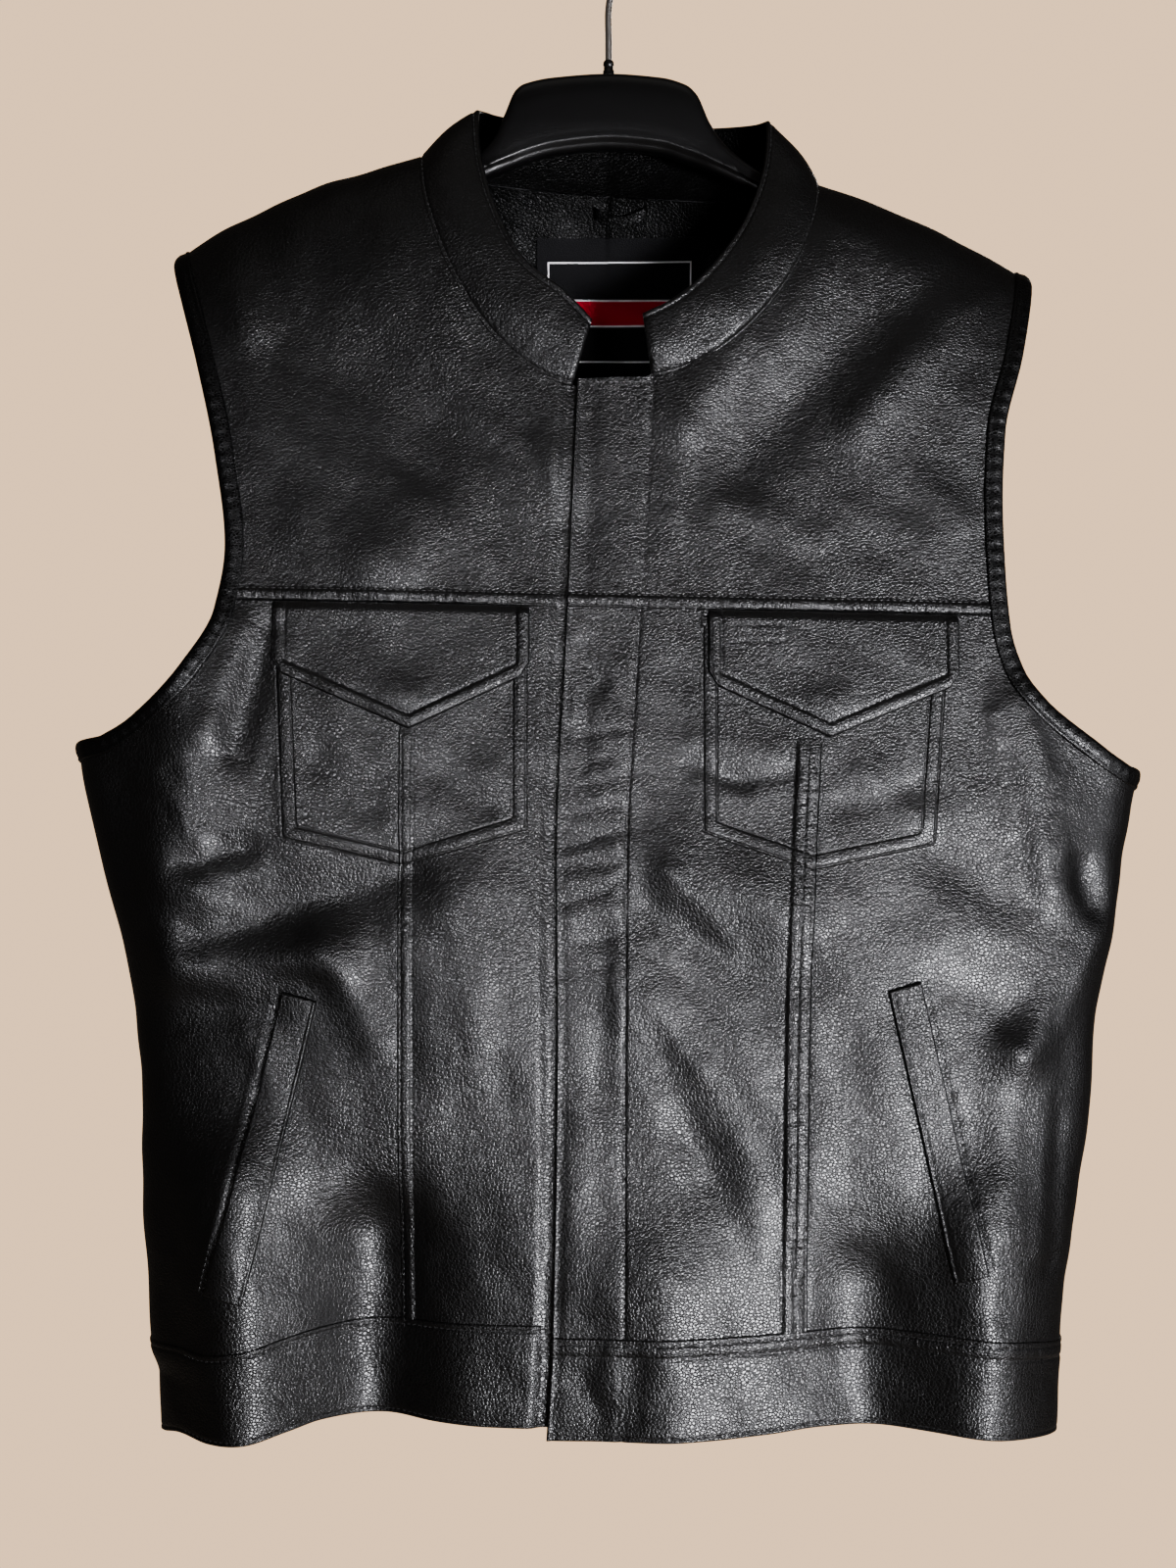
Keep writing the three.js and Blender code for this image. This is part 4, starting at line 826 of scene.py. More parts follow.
def lining():
    t = Tree("lining")
    weave = t.noise(900, 2, (1, 1, 0.35))
    t.set(
        Base_Color=t.blend(t.noise(30), (0.004, 0.004, 0.005), (0.008, 0.0075, 0.0085)),
        Roughness=0.62,
        Normal=t.bump(t.math("ADD", weave, t.math("MULTIPLY", t.noise(60), 2)), 0.0004),
        Sheen_Weight=0.25,
        Sheen_Roughness=0.4,
    )
    return t.material


def thread():
    t = Tree("thread")
    t.set(
        Base_Color=t.blend(t.noise(300), (0.003, 0.003, 0.0032), (0.02, 0.02, 0.021)),
        Roughness=0.5,
        Normal=t.bump(t.noise(2600, 1, (1, 1, 0.4)), 0.00012),
        Sheen_Weight=0.2,
    )
    return t.material


def woven_label():
    """Black woven cloth with a plain white border and one plain red band between white lines."""
    t = Tree("woven_label")
    x, _, z = t.split(t.place)
    frame_box = {"x": 6.5, "z": -210.5, "wide": 39.5, "high": 27.0}
    band = {"x": 6.5, "z": -211, "wide": 30, "high": 6.5}

    def inside(value, centre, half):
        off = t.math("ABSOLUTE", t.math("SUBTRACT", value, centre * MM))
        return t.math("LESS_THAN", off, half * MM)

    def box(spec, more=0.0):
        across = inside(x, spec["x"], spec["wide"] + more)
        return t.math("MULTIPLY", across, inside(z, spec["z"], spec["high"] + more))

    line = t.math("SUBTRACT", box(frame_box, 0.9), box(frame_box))
    red = box(band)
    edge = t.math("SUBTRACT", box(band, 1.1), red)
    white = t.math("MAXIMUM", line, edge)
    threads = t.noise(1, 1, (900, 900, 2600))
    ground = t.blend(threads, (0.001, 0.001, 0.0014), (0.004, 0.004, 0.005))
    colored = t.blend(red, ground, (0.42, 0.008, 0.025))
    weave = t.math("ADD", t.noise(1, 0, (3000, 3000, 900)), threads)
    raised = t.math("ADD", weave, t.math("MULTIPLY", t.math("MAXIMUM", white, red), 1.5))
    t.set(
        Base_Color=t.blend(white, colored, (0.72, 0.7, 0.7)),
        Roughness=0.72,
        Specular_IOR_Level=0.15,
        Normal=t.bump(raised, 0.00018),
        Sheen_Weight=0.15,
    )
    return t.material


def plastic():
    t = Tree("hanger_plastic")
    t.set(
        Base_Color=t.blend(t.noise(40), (0.0022, 0.0022, 0.0024), (0.0035, 0.0035, 0.0038)),
        Roughness=t.range(t.noise(120), 0.0, 1.0, 0.26, 0.34),
        Normal=t.bump(t.noise(1800, 2), 0.0001, 0.6),
    )
    return t.material


def steel():
    t = Tree("hook_steel")
    t.set(
        Base_Color=t.blend(t.noise(200), (0.5, 0.49, 0.48), (0.66, 0.65, 0.64)),
        Metallic=1.0,
        Roughness=t.range(t.noise(1, 2, (2500, 2500, 120)), 0.0, 1.0, 0.2, 0.42),
    )
    return t.material


def pale(name, color):
    t = Tree(name)
    t.set(
        Base_Color=t.blend(t.noise(3), tuple(0.97 * c for c in color), color),
        Roughness=0.85,
        Normal=t.bump(t.noise(900), 0.0002, 0.3),
    )
    return t.material


SKIN = leather("leather", LEATHER_COLOR, marked=True)
PLAIN_SKIN = leather("leather_plain", LEATHER_COLOR)
TRIM = leather("leather_trim", (0.002, 0.002, 0.0021), shine=0.26, grain=0.5, gloss=0.3)
INSIDE = leather("leather_inside", (0.0025, 0.0025, 0.0024), shine=0.3, grain=1.3, gloss=0.11)
LINING = lining()
THREAD = thread()


def pocket_distance(side, x, z):
    """Distance to a chest pocket's outer stitching, negative inside it."""
    corners = POCKETS[side]
    px = np.append(corners["x"], corners["x"][::-1][:1])
    pz = np.append(corners["z"], corners["z"][::-1][:1])
    far = np.full(np.broadcast(x, z).shape, 1e9)
    for k in range(len(corners["x"]) - 1):
        dx, dz = px[k + 1] - px[k], pz[k + 1] - pz[k]
        t = np.clip(((x - px[k]) * dx + (z - pz[k]) * dz) / (dx * dx + dz * dz), 0, 1)
        far = np.minimum(far, np.hypot(x - px[k] - t * dx, z - pz[k] - t * dz))
    left_x = np.interp(z, corners["z"][[1, 0]], corners["x"][[1, 0]])
    right_x = np.interp(z, corners["z"][[3, 4]], corners["x"][[3, 4]])
    floor = np.interp(x, corners["x"][1:4], corners["z"][1:4])
    within = (x > left_x) & (x < right_x) & (z > floor)
    return np.where(within, -far, far)


def welt_frame(side, x, z):
    """Place along and across a welt, in millimetres from its middle."""
    w = WELTS[side]
    dx, dz = w["bottom_x"] - w["top_x"], w["bottom_z"] - w["top_z"]
    length = math.hypot(dx, dz)
    ox, oz = x - (w["top_x"] + w["bottom_x"]) / 2, z - (w["top_z"] + w["bottom_z"]) / 2
    along = (ox * dx + oz * dz) / length
    across = (ox * dz - oz * dx) / length
    return along, -across * side_sign(side), length


def pocket_relief(side, x, z):
    d = pocket_distance(side, x, z)
    band = soft((0.6 - d) / 1.4) - soft((-d - POCKET_ROWS + 0.6) / 1.4)
    return 0.4 * band + 0.12 * soft(-d / 2) - 0.25 * hump(d, 0.9) - 0.25 * hump(d + POCKET_ROWS, 0.9)


def slit_relief(side, x, z):
    """The opening of the hand pocket, beside the outer edge of its welt."""
    along, across, length = welt_frame(side, x, z)
    inside = soft((length / 2 + 2 - np.abs(along)) / 5)
    outer = WELTS[side]["width"] / 2
    return inside * (-1.7 * hump(across - outer - 0.6, 1.5) + 0.6 * hump(across - outer - 4.4, 2.2))


def yoke_raise(side, x, z):
    d = z - yoke_z(x)
    under = under_share(side, x, z)
    ridge = RIDGE_RISE * (1 - soft((d - 5.6) / 2.4)) - 0.4 * hump(d - 1.4, 0.6) - 0.55 * hump(d - 6.6, 1.0)
    return ridge * (1 - under) - UNDERLAP * under + placket_relief(side, x, z)


def placket_relief(side, x, z):
    """Groove of the placket's stitching and the fullness between it and the free edge."""
    if side == "right":
        return 0 * x
    d = x - placket_stitch_x(z)
    edge = x - placket_x(z)
    inside = soft((-d - 0.5) / 4) * soft(edge / 5)
    return 0.45 * inside - 0.75 * hump(d, 1.0) + 0.7 * hump(edge - 0.5, 1.6) - 0.35 * hump(edge - 3.6, 1.2)


def centre_raise(side, x, z):
    d = side_sign(side) * (seam_x(side, z) - x)
    low = soft((FLAPS[side]["tip_z"] + 0.5 - z) / 4)
    under = under_share(side, x, z)
    if side == "right":
        ridge = RIDGE_RISE * (1 - soft((d - 5.8) / 2)) - 0.4 * hump(d - 1.2, 0.6) - 0.5 * hump(d - 6.6, 0.9)
    else:
        ridge = RIDGE_RISE * (1 - soft((d - 11.4) / 2.6)) - 0.4 * hump(d - 1.2, 0.6)
        ridge = ridge - 0.6 * hump(d - 6.8, 0.9) - 0.45 * hump(d - 12.8, 1.0)
    shape = ridge * low * (1 - under) - UNDERLAP * under
    return shape + placket_relief(side, x, z) + pocket_relief(side, x, z)


def side_raise(side, x, z):
    d = side_sign(side) * (x - seam_x(side, z))
    return pocket_relief(side, x, z) + slit_relief(side, x, z) - 0.25 * hump(d, 1.6)


def band_raise(side, x, z):
    top = band_top_z(x, side) - z
    low = (UNDERLAP + DOUBLE - SHELL) * under_share(side, x, z)
    rows = -0.4 * hump(top - BAND_ROW, 0.8) - 0.35 * hump(z - hem_z(x, side) - HEM_ROW, 0.8)
    if side == "left":
        rows = rows - 0.5 * hump(top - LEFT_BAND_ROW, 1.3) + placket_relief(side, x, z)
    return BAND_PROUD - low + rows


def gather_weights(side, x, z, piece):
    """How strongly the leather is gathered beside level seams and beside upright ones."""
    level = np.zeros(x.shape)
    upright = np.zeros(x.shape)
    if piece == "yoke":
        level = hump(z - yoke_z(x) - 3.8, 3.6)
    if piece == "centre":
        d = side_sign(side) * (seam_x(side, z) - x)
        strength, width = (0.45, 3.4) if side == "right" else (1.0, 6.5)
        upright = strength * hump(d - width, width * 0.9) * soft((FLAP_CLEAR - z) / 6)
    if piece == "band" and side == "left":
        level = 0.8 * hump(band_top_z(x, side) - z - 5.5, 3.6)
    d = pocket_distance(side, x, z)
    if piece in ("centre", "side"):
        level = level + 0.35 * hump(d + POCKET_ROWS / 2, 3) * soft((POCKET_LEVEL_Z - z) / 6)
        upright = upright + 0.35 * hump(d + POCKET_ROWS / 2, 3) * soft((z - POCKET_UPRIGHT_Z) / 6)
    if side == "left" and piece != "side":
        upright = upright + 0.3 * hump(x - placket_stitch_x(z), 2.5)
    return level, upright


def front_piece(name, side, piece, grid, raise_by, thick, edges):
    """One leather panel of a front, its outer face shaped by raise_by over the body's surface."""
    p, n, front = grid
    x, z = p[..., 0], p[..., 2]
    rise = relief(front, x, z) + raise_by(side, x, z)
    outer = moved(p, n, rise - rounding(p, edges))
    inner = moved(p, n, rise - thick)
    level, upright = gather_weights(side, x, z, piece)
    hints = {
        "pocket": (pocket_distance(side, x, z) if piece in ("centre", "side") else 99 + 0 * x, "FLOAT"),
        "gather": (np.stack([level, upright, 0 * x], -1), "FLOAT_VECTOR"),
    }
    return wall(name, outer, inner, (SKIN, LINING), hints)


def neck_places(side, face, shares):
    """Places on the neck seam, by their share of the way from the front end or the middle of the back."""
    neck = NECK[side]
    turn = shares * math.pi / 2
    if face == "back":
        x = side_sign(side) * neck["shoulder_x"] * np.sin(turn)
        return x, np.where(shares >= 1, shoulder_z(side, x), back_neck_z(x))
    out = mix(abs(neck["end_x"]), neck["shoulder_x"], np.sin(turn) ** (2 / NECK_ROUND))
    high = shoulder_z(side, neck["shoulder_x"])
    z = mix(high, neck["end_z"], np.maximum(np.cos(turn), 0) ** (2 / NECK_ROUND))
    return side_sign(side) * out, z


def shoulder_places(side, count):
    x = side_sign(side) * np.linspace(NECK[side]["shoulder_x"], ARMHOLE[side]["front"][0], count)
    return x, shoulder_z(side, x)


def yoke(side):
    panel = Panel(
        side, "front", lambda x: yoke_z(x) - LAP, lambda x: shoulder_z(side, x),
        front_start(side), panel_edge(side, "front"),
    )
    edge = placket_x(PLACKET_TOP)
    if side == "right":
        neck, bend = NECK[side], UNDERLAP_TOP
        free_x = np.linspace(edge + UNDERLAP_WIDTH, bend["x"], 4)[:-1]
        free_x = np.append(free_x, np.linspace(bend["x"], neck["end_x"], 8)[:-1])
        free_z = np.interp(free_x, (neck["end_x"], bend["x"]), (neck["end_z"], bend["z"]))
    else:
        free_x = edge + np.append(np.array([0, 0.35, 0.9, 1.6]), np.linspace(3, PLACKET_TOP_WIDTH, 19))
        free_z = PLACKET_TOP + np.interp(free_x, (edge, 3, 20.5), (0, 0.6, 1))
    neck_x, neck_z = neck_places(side, "front", np.linspace(0, 1, 52))
    top_x, top_z = shoulder_places(side, 56)
    stations = (
        np.concatenate([free_x, neck_x, top_x[1:]]),
        np.concatenate([free_z, neck_z, top_z[1:]]),
    )
    levels = steps(YOKE_HEIGHT, FINE, ((0, 13, SEAM_STEP), (YOKE_HEIGHT - 1.5, YOKE_HEIGHT, 0.5)))
    grid = panel.grid(None, levels, stations)
    edges = "bottom" if side == "right" else "bottom start"
    return front_piece(f"yoke_{side}_skin", side, "yoke", grid, yoke_raise, SHELL, edges)


def centre_front(side):
    panel = Panel(
        side, "front", lambda x: band_top_z(x, side) - LAP, lambda x: yoke_z(x) + LAP,
        front_start(side), seam_angle(side, LAP),
    )
    width, ridge = CENTRE_FRONT[side]["width"], CENTRE_FRONT[side]["ridge"]
    dense = [(width - ridge, width, SEAM_STEP)]
    if side == "left":
        dense += [(0, 2, 0.4), (36, 41, SEAM_STEP)]
    levels = steps(FRONT_HEIGHT, FINE, ((0, 2, 0.5), (FRONT_HEIGHT - 2, FRONT_HEIGHT, 0.5)))
    grid = panel.grid(steps(width, FINE, dense), levels)
    edges = "end" if side == "right" else "start end"
    return front_piece(f"front_centre_{side}_skin", side, "centre", grid, centre_raise, SHELL, edges)


def side_front(side):
    panel = Panel(
        side, "front", lambda x: band_top_z(x, side) - LAP, lambda x: yoke_z(x) + LAP,
        seam_angle(side, -LAP), panel_edge(side, "front"),
    )
    under = (ARMHOLE[side]["z"][-1] - panel.low[0]) / (panel.high[0] - panel.low[0])
    turn = FRONT_HEIGHT * float(under)
    levels = steps(FRONT_HEIGHT, FINE, ((turn - 1, turn + 9, 0.35), (turn + 9, turn + 27, 0.9)))
    grid = panel.grid(steps(SIDE_FRONT_WIDTH, FINE, ((0, 3, SEAM_STEP),)), levels)
    return front_piece(f"front_side_{side}_skin", side, "side", grid, side_raise, SHELL, "")


def front_band(side):
    panel = Panel(
        side, "front", lambda x: hem_z(x, side), lambda x: band_top_z(x, side) + LAP,
        front_start(side), lambda z: side_angle(side, z) + LAP / depth_at["front"](z),
    )
    dense = ((0, 2, 0.4), (36, 41, SEAM_STEP)) if side == "left" else ()
    shares = steps(FRONT_BAND_LENGTH, FINE, dense)
    levels = steps(BAND_HEIGHT, 1.8, ((0, 4, 0.6), (38, 42, SEAM_STEP), (45, BAND_HEIGHT, 0.6)))
    edges = "bottom top start" if side == "left" else "bottom top"
    grid = panel.grid(shares, levels)
    return front_piece(f"waistband_front_{side}_skin", side, "band", grid, band_raise, DOUBLE, edges)


def joined_halves(halves):
    """One grid from the right half, turned round, and the left half."""
    return [np.concatenate([right[:, :0:-1], left], 1) for right, left in zip(*halves)]


def back_panel():
    halves = []
    for side in SIDES:
        under = ARMHOLE[side]["z"][-1]
        sides = (lambda z: math.pi + 0 * z, panel_edge(side, "back"))
        lower = Panel(side, "back", lambda x: band_top_z(x) - LAP, lambda x: under + 0 * x, *sides)
        upper = Panel(side, "back", lambda x: under + 0 * x, lambda x: shoulder_z(side, x), *sides)
        neck_x, neck_z = neck_places(side, "back", np.linspace(0, 1, 30))
        more_x, more_z = shoulder_places(side, 36)
        stations = (np.append(neck_x, more_x[1:]), np.append(neck_z, more_z[1:]))
        shares = upper.share_of(*stations, 1)
        low = lower.grid(shares, steps(BACK_HEIGHTS["low"], COARSE))
        tall = BACK_HEIGHTS["high"]
        dense = ((0, 9, 0.4), (9, 27, 1.2), (tall - 2, tall, 0.5))
        high = upper.grid(None, steps(tall, COARSE, dense), stations)
        halves.append([np.concatenate([a, b[1:]]) for a, b in zip(low, high)])
    p, n, front = joined_halves(halves)
    rise = relief(front, p[..., 0], p[..., 2])
    return wall("back_skin", moved(p, n, rise), moved(p, n, rise - SHELL), (PLAIN_SKIN, LINING))


def back_band():
    halves = []
    for side in SIDES:
        panel = Panel(
            side, "back", hem_z, lambda x: band_top_z(x) + LAP,
            lambda z: math.pi + 0 * z, lambda z: side_angle(side, z) - LAP / depth_at["back"](z),
        )
        levels = steps(BAND_HEIGHT, 2.4, ((0, 4, 0.6), (45, BAND_HEIGHT, 0.6)))
        halves.append(panel.grid(steps(HALF_BACK_BAND_LENGTH, COARSE), levels))
    p, n, front = joined_halves(halves)
    x, z = p[..., 0], p[..., 2]
    rows = -0.4 * hump(band_top_z(x) - z - BAND_ROW, 0.8) - 0.35 * hump(z - hem_z(x) - HEM_ROW, 0.8)
    rise = relief(front, x, z) + BAND_PROUD + rows
    outer = moved(p, n, rise - rounding(p, "bottom top"))
    return wall("waistband_back_skin", outer, moved(p, n, rise - DOUBLE), (PLAIN_SKIN, LINING))


def on_body(side, face, x, z):
    return body_point(side, angle_of(side, face, x, z), z)


def snap_bulge(f, x, z):
    """Height of the bulge over the snap under a flap."""
    across = (x - f["tip_x"]) / SNAP["wide"]
    up = (z - f["tip_z"] - SNAP["above_tip"]) / SNAP["high"]
    return SNAP["bulge"] * np.exp(-(across**2 + up**2))


def flap(side):
    f = FLAPS[side]
    wide, high = f["x2"] - f["x1"], FLAP_HEIGHT
    s = steps(wide, 1.5, ((0, 9, SEAM_STEP), (wide - 9, wide, SEAM_STEP)))
    t = steps(high, 1.3, ((0, 2, 0.5), (high - 9, high, SEAM_STEP)))[:, None]
    x = f["x1"] + s[None] * wide + 0 * t
    first = x < f["tip_x"]
    towards = np.where(first, x - f["x1"], f["x2"] - x)
    towards = towards / np.where(first, f["tip_x"] - f["x1"], f["x2"] - f["tip_x"])
    corner = FLAP_CORNER * (1 - soft(towards / 0.09))
    low = mix(np.where(first, f["side1"], f["side2"]), f["tip_z"], towards) + corner
    z = mix(yoke_z(x) - GAP, low, t)
    p, n = on_body(side, "front", x, z)
    rim = np.minimum(np.minimum(x - f["x1"], f["x2"] - x), (z - low) * 0.92)
    hidden = soft((yoke_z(x) - z) / 5)
    shape = 0.5 * (1 - soft((rim - 6) / 1.6)) - 0.6 * hump(rim - FLAP_RIM, 0.9)
    shape = shape - 0.25 * hump(rim - 1.6, 0.6) + snap_bulge(f, x, z)
    if side == "left":
        shape = shape - 0.45 * pen_slot_lines(x, z)
    under = FLAP_UNDER * hidden
    rise = relief(True, x, z) + under + mix(0.7, FLAP_THICK, hidden) + shape * hidden
    outer = moved(p, n, rise - rounding(p, "start end top", 1.6))
    inner = moved(p, n, relief(True, x, z) + under)
    level = 0.5 * hump(rim - FLAP_RIM / 2, 3)
    hints = {
        "pocket": (99 + 0 * x, "FLOAT"),
        "gather": (np.stack([level, 0.5 * level, 0 * x], -1), "FLOAT_VECTOR"),
    }
    return wall(f"pocket_flap_{side}_skin", outer, inner, (SKIN, LINING), hints)


def pen_slot_lines(x, z):
    """Stitched rectangle of the pen slot with its opening in the middle."""
    s = PEN_SLOT
    middle = (s["top"] + s["bottom"]) / 2
    across = np.abs(x - (s["x1"] + s["x2"]) / 2) - (s["x2"] - s["x1"]) / 2
    up = np.abs(z - middle) - (s["top"] - s["bottom"]) / 2
    edge = np.maximum(across, up)
    opening = hump(z - middle, 0.5) * soft(-across / 2)
    return hump(edge, 0.7) + 0.3 * opening


def welt(side):
    w = WELTS[side]
    across = steps(w["width"], 1.2, ((0, 2, 0.4), (w["width"] - 2, w["width"], 0.4))) - 0.5
    t = steps(WELT_LENGTH, FINE, ((0, 2, 0.4), (WELT_LENGTH - 2, WELT_LENGTH, 0.4)))[:, None]
    x = mix(w["top_x"], w["bottom_x"], t) + across * w["width"]
    z = mix(w["top_z"], w["bottom_z"], t) + side_sign(side) * across * WELT_SKEW
    p, n = on_body(side, "front", x, z)
    outer_side = across * side_sign(side)
    body = 0.5 * soft((outer_side + 0.5) / 0.8) + 0 * t
    rows = -0.4 * hump((outer_side + 0.5) * w["width"] - 2.2, 0.7) + 0 * t
    rise = relief(True, x, z) + WELT_UNDER + WELT_THICK - 0.5 + body + rows
    outer = moved(p, n, rise - rounding(p, "start end top bottom", 1.2))
    inner = moved(p, n, relief(True, x, z) + WELT_UNDER * 0.6)
    return wall(f"pocket_welt_{side}_skin", outer, inner, (PLAIN_SKIN, LINING))


def armhole_line(side):
    """Closed line of an armhole seam with its normals, from the shoulder down the front and up the back."""
    rows = ARMHOLE[side]
    top = float(shoulder_z(side, rows["front"][0]))
    under = rows["z"][-1]
    z = under + (top - under) * (1 - np.cos(np.linspace(0, math.pi, 400))) / 2
    line, normals = [], []
    for face in ("front", "back"):
        edge = panel_edge(side, face)
        angle = np.where(z <= under, math.pi / 2, edge(z))
        p, n = body_point(side, angle, z)
        p[-1, 1] = 0
        order = slice(None, None, -1) if face == "front" else slice(1, -1)
        line.append(p[order])
        normals.append(n[order])
    return np.concatenate(line), np.concatenate(normals)


def binding(side):
    """Rolled binding of an armhole, gathered across its length, with a thin piping at the seam."""
    line, normals = armhole_line(side)
    closed, closed_n = (np.concatenate([values, values[:1]]) for values in (line, normals))
    lengths = lengths_along(closed)
    count = int(lengths[-1] / 1.3)
    at = np.linspace(0, lengths[-1], count + 1)[:-1]
    p = places_along(at, lengths, closed)
    n = unit(places_along(at, lengths, closed_n))
    for _ in range(6):
        n = unit(n + 0.5 * (np.roll(n, 1, 0) + np.roll(n, -1, 0)))
    along = unit(np.roll(p, -3, 0) - np.roll(p, 3, 0))
    out = unit(np.cross(n, along))
    hole = np.array([side_sign(side) * ARMHOLE_MIDDLE["x"], 0, ARMHOLE_MIDDLE["z"]])
    out = out * np.sign(np.einsum("ij,ij->i", out, hole - p))[:, None]
    centre = p + out * (BINDING / 2 - LAP)
    sides = 26
    turn = 2 * math.pi * (np.arange(sides) + 0.5) / sides
    wide = signed_power(np.cos(turn), 0.8) * BINDING / 2
    thick = signed_power(np.sin(turn), 0.8) * BINDING_THICK / 2
    seam_side = hump(wide + BINDING / 2 - 2.9, 0.8) * 0.8 * np.sign(thick)
    random = np.random.default_rng(7 if side == "right" else 8)
    phase = np.cumsum(random.uniform(0.7, 1.5, count))
    strength = 0.07 + 0.12 * np.interp(at, np.linspace(0, at[-1], 30), random.uniform(0, 1, 30))
    if side == "left":
        strength = strength * 1.4
    ripple = np.sin(phase[:, None] + 0.9 * np.sin(turn)) * hump(wide - 1.2, 4.0)
    height = thick - seam_side + strength[:, None] * ripple * np.sign(thick)
    rings = centre[:, None] + out[:, None] * wide[:, None] + n[:, None] * (height - SHELL / 2)[..., None]
    return tube_mesh(f"armhole_binding_{side}_roll", rings, (TRIM,), closed_along=True)


def collar():
    share = np.linspace(0, 1, 46)
    parts = []
    for side, face, along in (
        ("right", "front", share),
        ("right", "back", 2 - share[::-1][1:]),
        ("left", "back", 2 + share[1:]),
        ("left", "front", 4 - share[::-1][1:]),
    ):
        shares = {"front": along if side == "right" else 4 - along, "back": np.abs(along - 2)}[face]
        x, z = neck_places(side, face, shares)
        p, _ = on_body(side, face, x, z)
        p[shares >= 1, 1] = 0
        parts.append((along, p))
    along = np.concatenate([a for a, _ in parts])
    seam = np.concatenate([p for _, p in parts])
    free = np.stack([curve_of(COLLAR_EDGE, "along", axis)(along) for axis in "xyz"], 1)
    up = free - seam
    low = seam + unit(up) * COLLAR_LIFT
    rise = steps(COLLAR_HEIGHT, 1.6, ((0, 4, 0.6), (COLLAR_HEIGHT - 5, COLLAR_HEIGHT, 0.5)))
    middle = np.array(COLLAR_MIDDLE)
    lines = low[None] + (free - low)[None] * rise[:, None, None]
    tangent = np.empty_like(lines)
    tangent[:, 1:-1] = lines[:, 2:] - lines[:, :-2]
    tangent[:, 0] = lines[:, 1] - lines[:, 0]
    tangent[:, -1] = lines[:, -1] - lines[:, -2]
    out = unit(np.cross(tangent, (free - low)[None]))
    out = out * np.sign(np.einsum("ij,ij->i", out[0], low - middle))[None, :, None]
    for _ in range(4):
        out[:, 1:-1] = unit(out[:, 1:-1] + 0.5 * (out[:, 2:] + out[:, :-2]))
    bow = COLLAR_BOW * np.sin(math.pi * rise)[:, None]
    base = lines + out * bow[..., None]
    far = distances(base)
    x, z = base[..., 0], base[..., 2]
    waves = 0.35 * np.sin(x / 9 + z / 14) * np.sin(z / 8 - x / 17) + 0.25 * np.sin(along * 21)[None]
    waves = waves * soft(far["bottom"] / 8) * soft(far["top"] / 8)
    rows = 0.5 * hump(far["top"] - COLLAR_TOP_ROW, 0.8) + 0.5 * hump(far["bottom"] - COLLAR_SEAM_ROW, 0.8)
    outer = base + out * (waves - rows - rounding(base, "top start end bottom", 1.0))[..., None]
    inner = base + out * (waves - DOUBLE + rounding(base, "top", 1.0))[..., None]
    return wall("collar_stand", outer, inner, (PLAIN_SKIN, INSIDE)), (base, out, waves)


def both_halves(x, z):
    """Points and normals on the back, on both sides of its middle."""
    right, left = (on_body(side, "back", x, z) for side in SIDES)
    ahead = (x < 0)[..., None]
    return np.where(ahead, right[0], left[0]), np.where(ahead, right[1], left[1])


def facing():
    x = np.linspace(FACING["x1"], FACING["x2"], 105)[None]
    t = steps(110, 2)[:, None]
    z = mix(back_neck_z(x) - 0.3, FACING["bottom"] + 0 * x, t)
    z = z + 0 * x
    x = x + 0 * z
    p, n = both_halves(x, z)
    near = relief(False, x, z) - SHELL - GAP
    bumps = 0.25 * np.sin(x / 5.3 + 2 * np.sin(z / 9)) * np.sin(z / 4.7 + np.sin(x / 11))
    inner = moved(p, n, near - FACING["thick"] - bumps)
    return wall("neck_facing_skin", moved(p, n, near), inner, (INSIDE, INSIDE))


def off_facing(x, z, clear):
    """Points and normals on the back, and the height over them that is just inside the neck facing."""
    near = relief(False, x, z) - SHELL - FACING["thick"] - 2 * GAP - clear
    return *both_halves(x, z), near


def label():
    x = np.linspace(LABEL["x1"], LABEL["x2"], 64)[None] + np.zeros((54, 1))
    z = np.linspace(LABEL["top"], LABEL["bottom"], 54)[:, None] + 0 * x
    p, n, near = off_facing(x, z, LABEL["clear"])
    waves = 0.35 * np.sin(x / 8.5) * hump(z - LABEL["top"], 12) + 0.2 * np.sin(z / 7 + x / 19)
    cloth = woven_label()
    inner = moved(p, n, near - LABEL["thick"] - waves)
    return wall("neck_label_cloth", moved(p, n, near), inner, (cloth, cloth))


def loop():
    s = np.linspace(0, 1, 40)[None]
    t = np.linspace(0, 1, 9)[:, None]
    x = LOOP["x"] + (s - 0.5) * LOOP["width"] + 0 * t
    z = LOOP["z"] - LOOP["strap"] * t - LOOP["sag"] * np.sin(math.pi * s)
    p, n, near = off_facing(x, z, LOOP["clear"])
    edges = 0.3 * (hump(t - 0.15, 0.08) + hump(t - 0.85, 0.08))
    away = near - LOOP["stand"] * np.sin(math.pi * s) ** 0.5 + edges
    inner = moved(p, n, away - LOOP["thick"])
    return wall("hanging_loop_strap", moved(p, n, away), inner, (INSIDE, INSIDE))


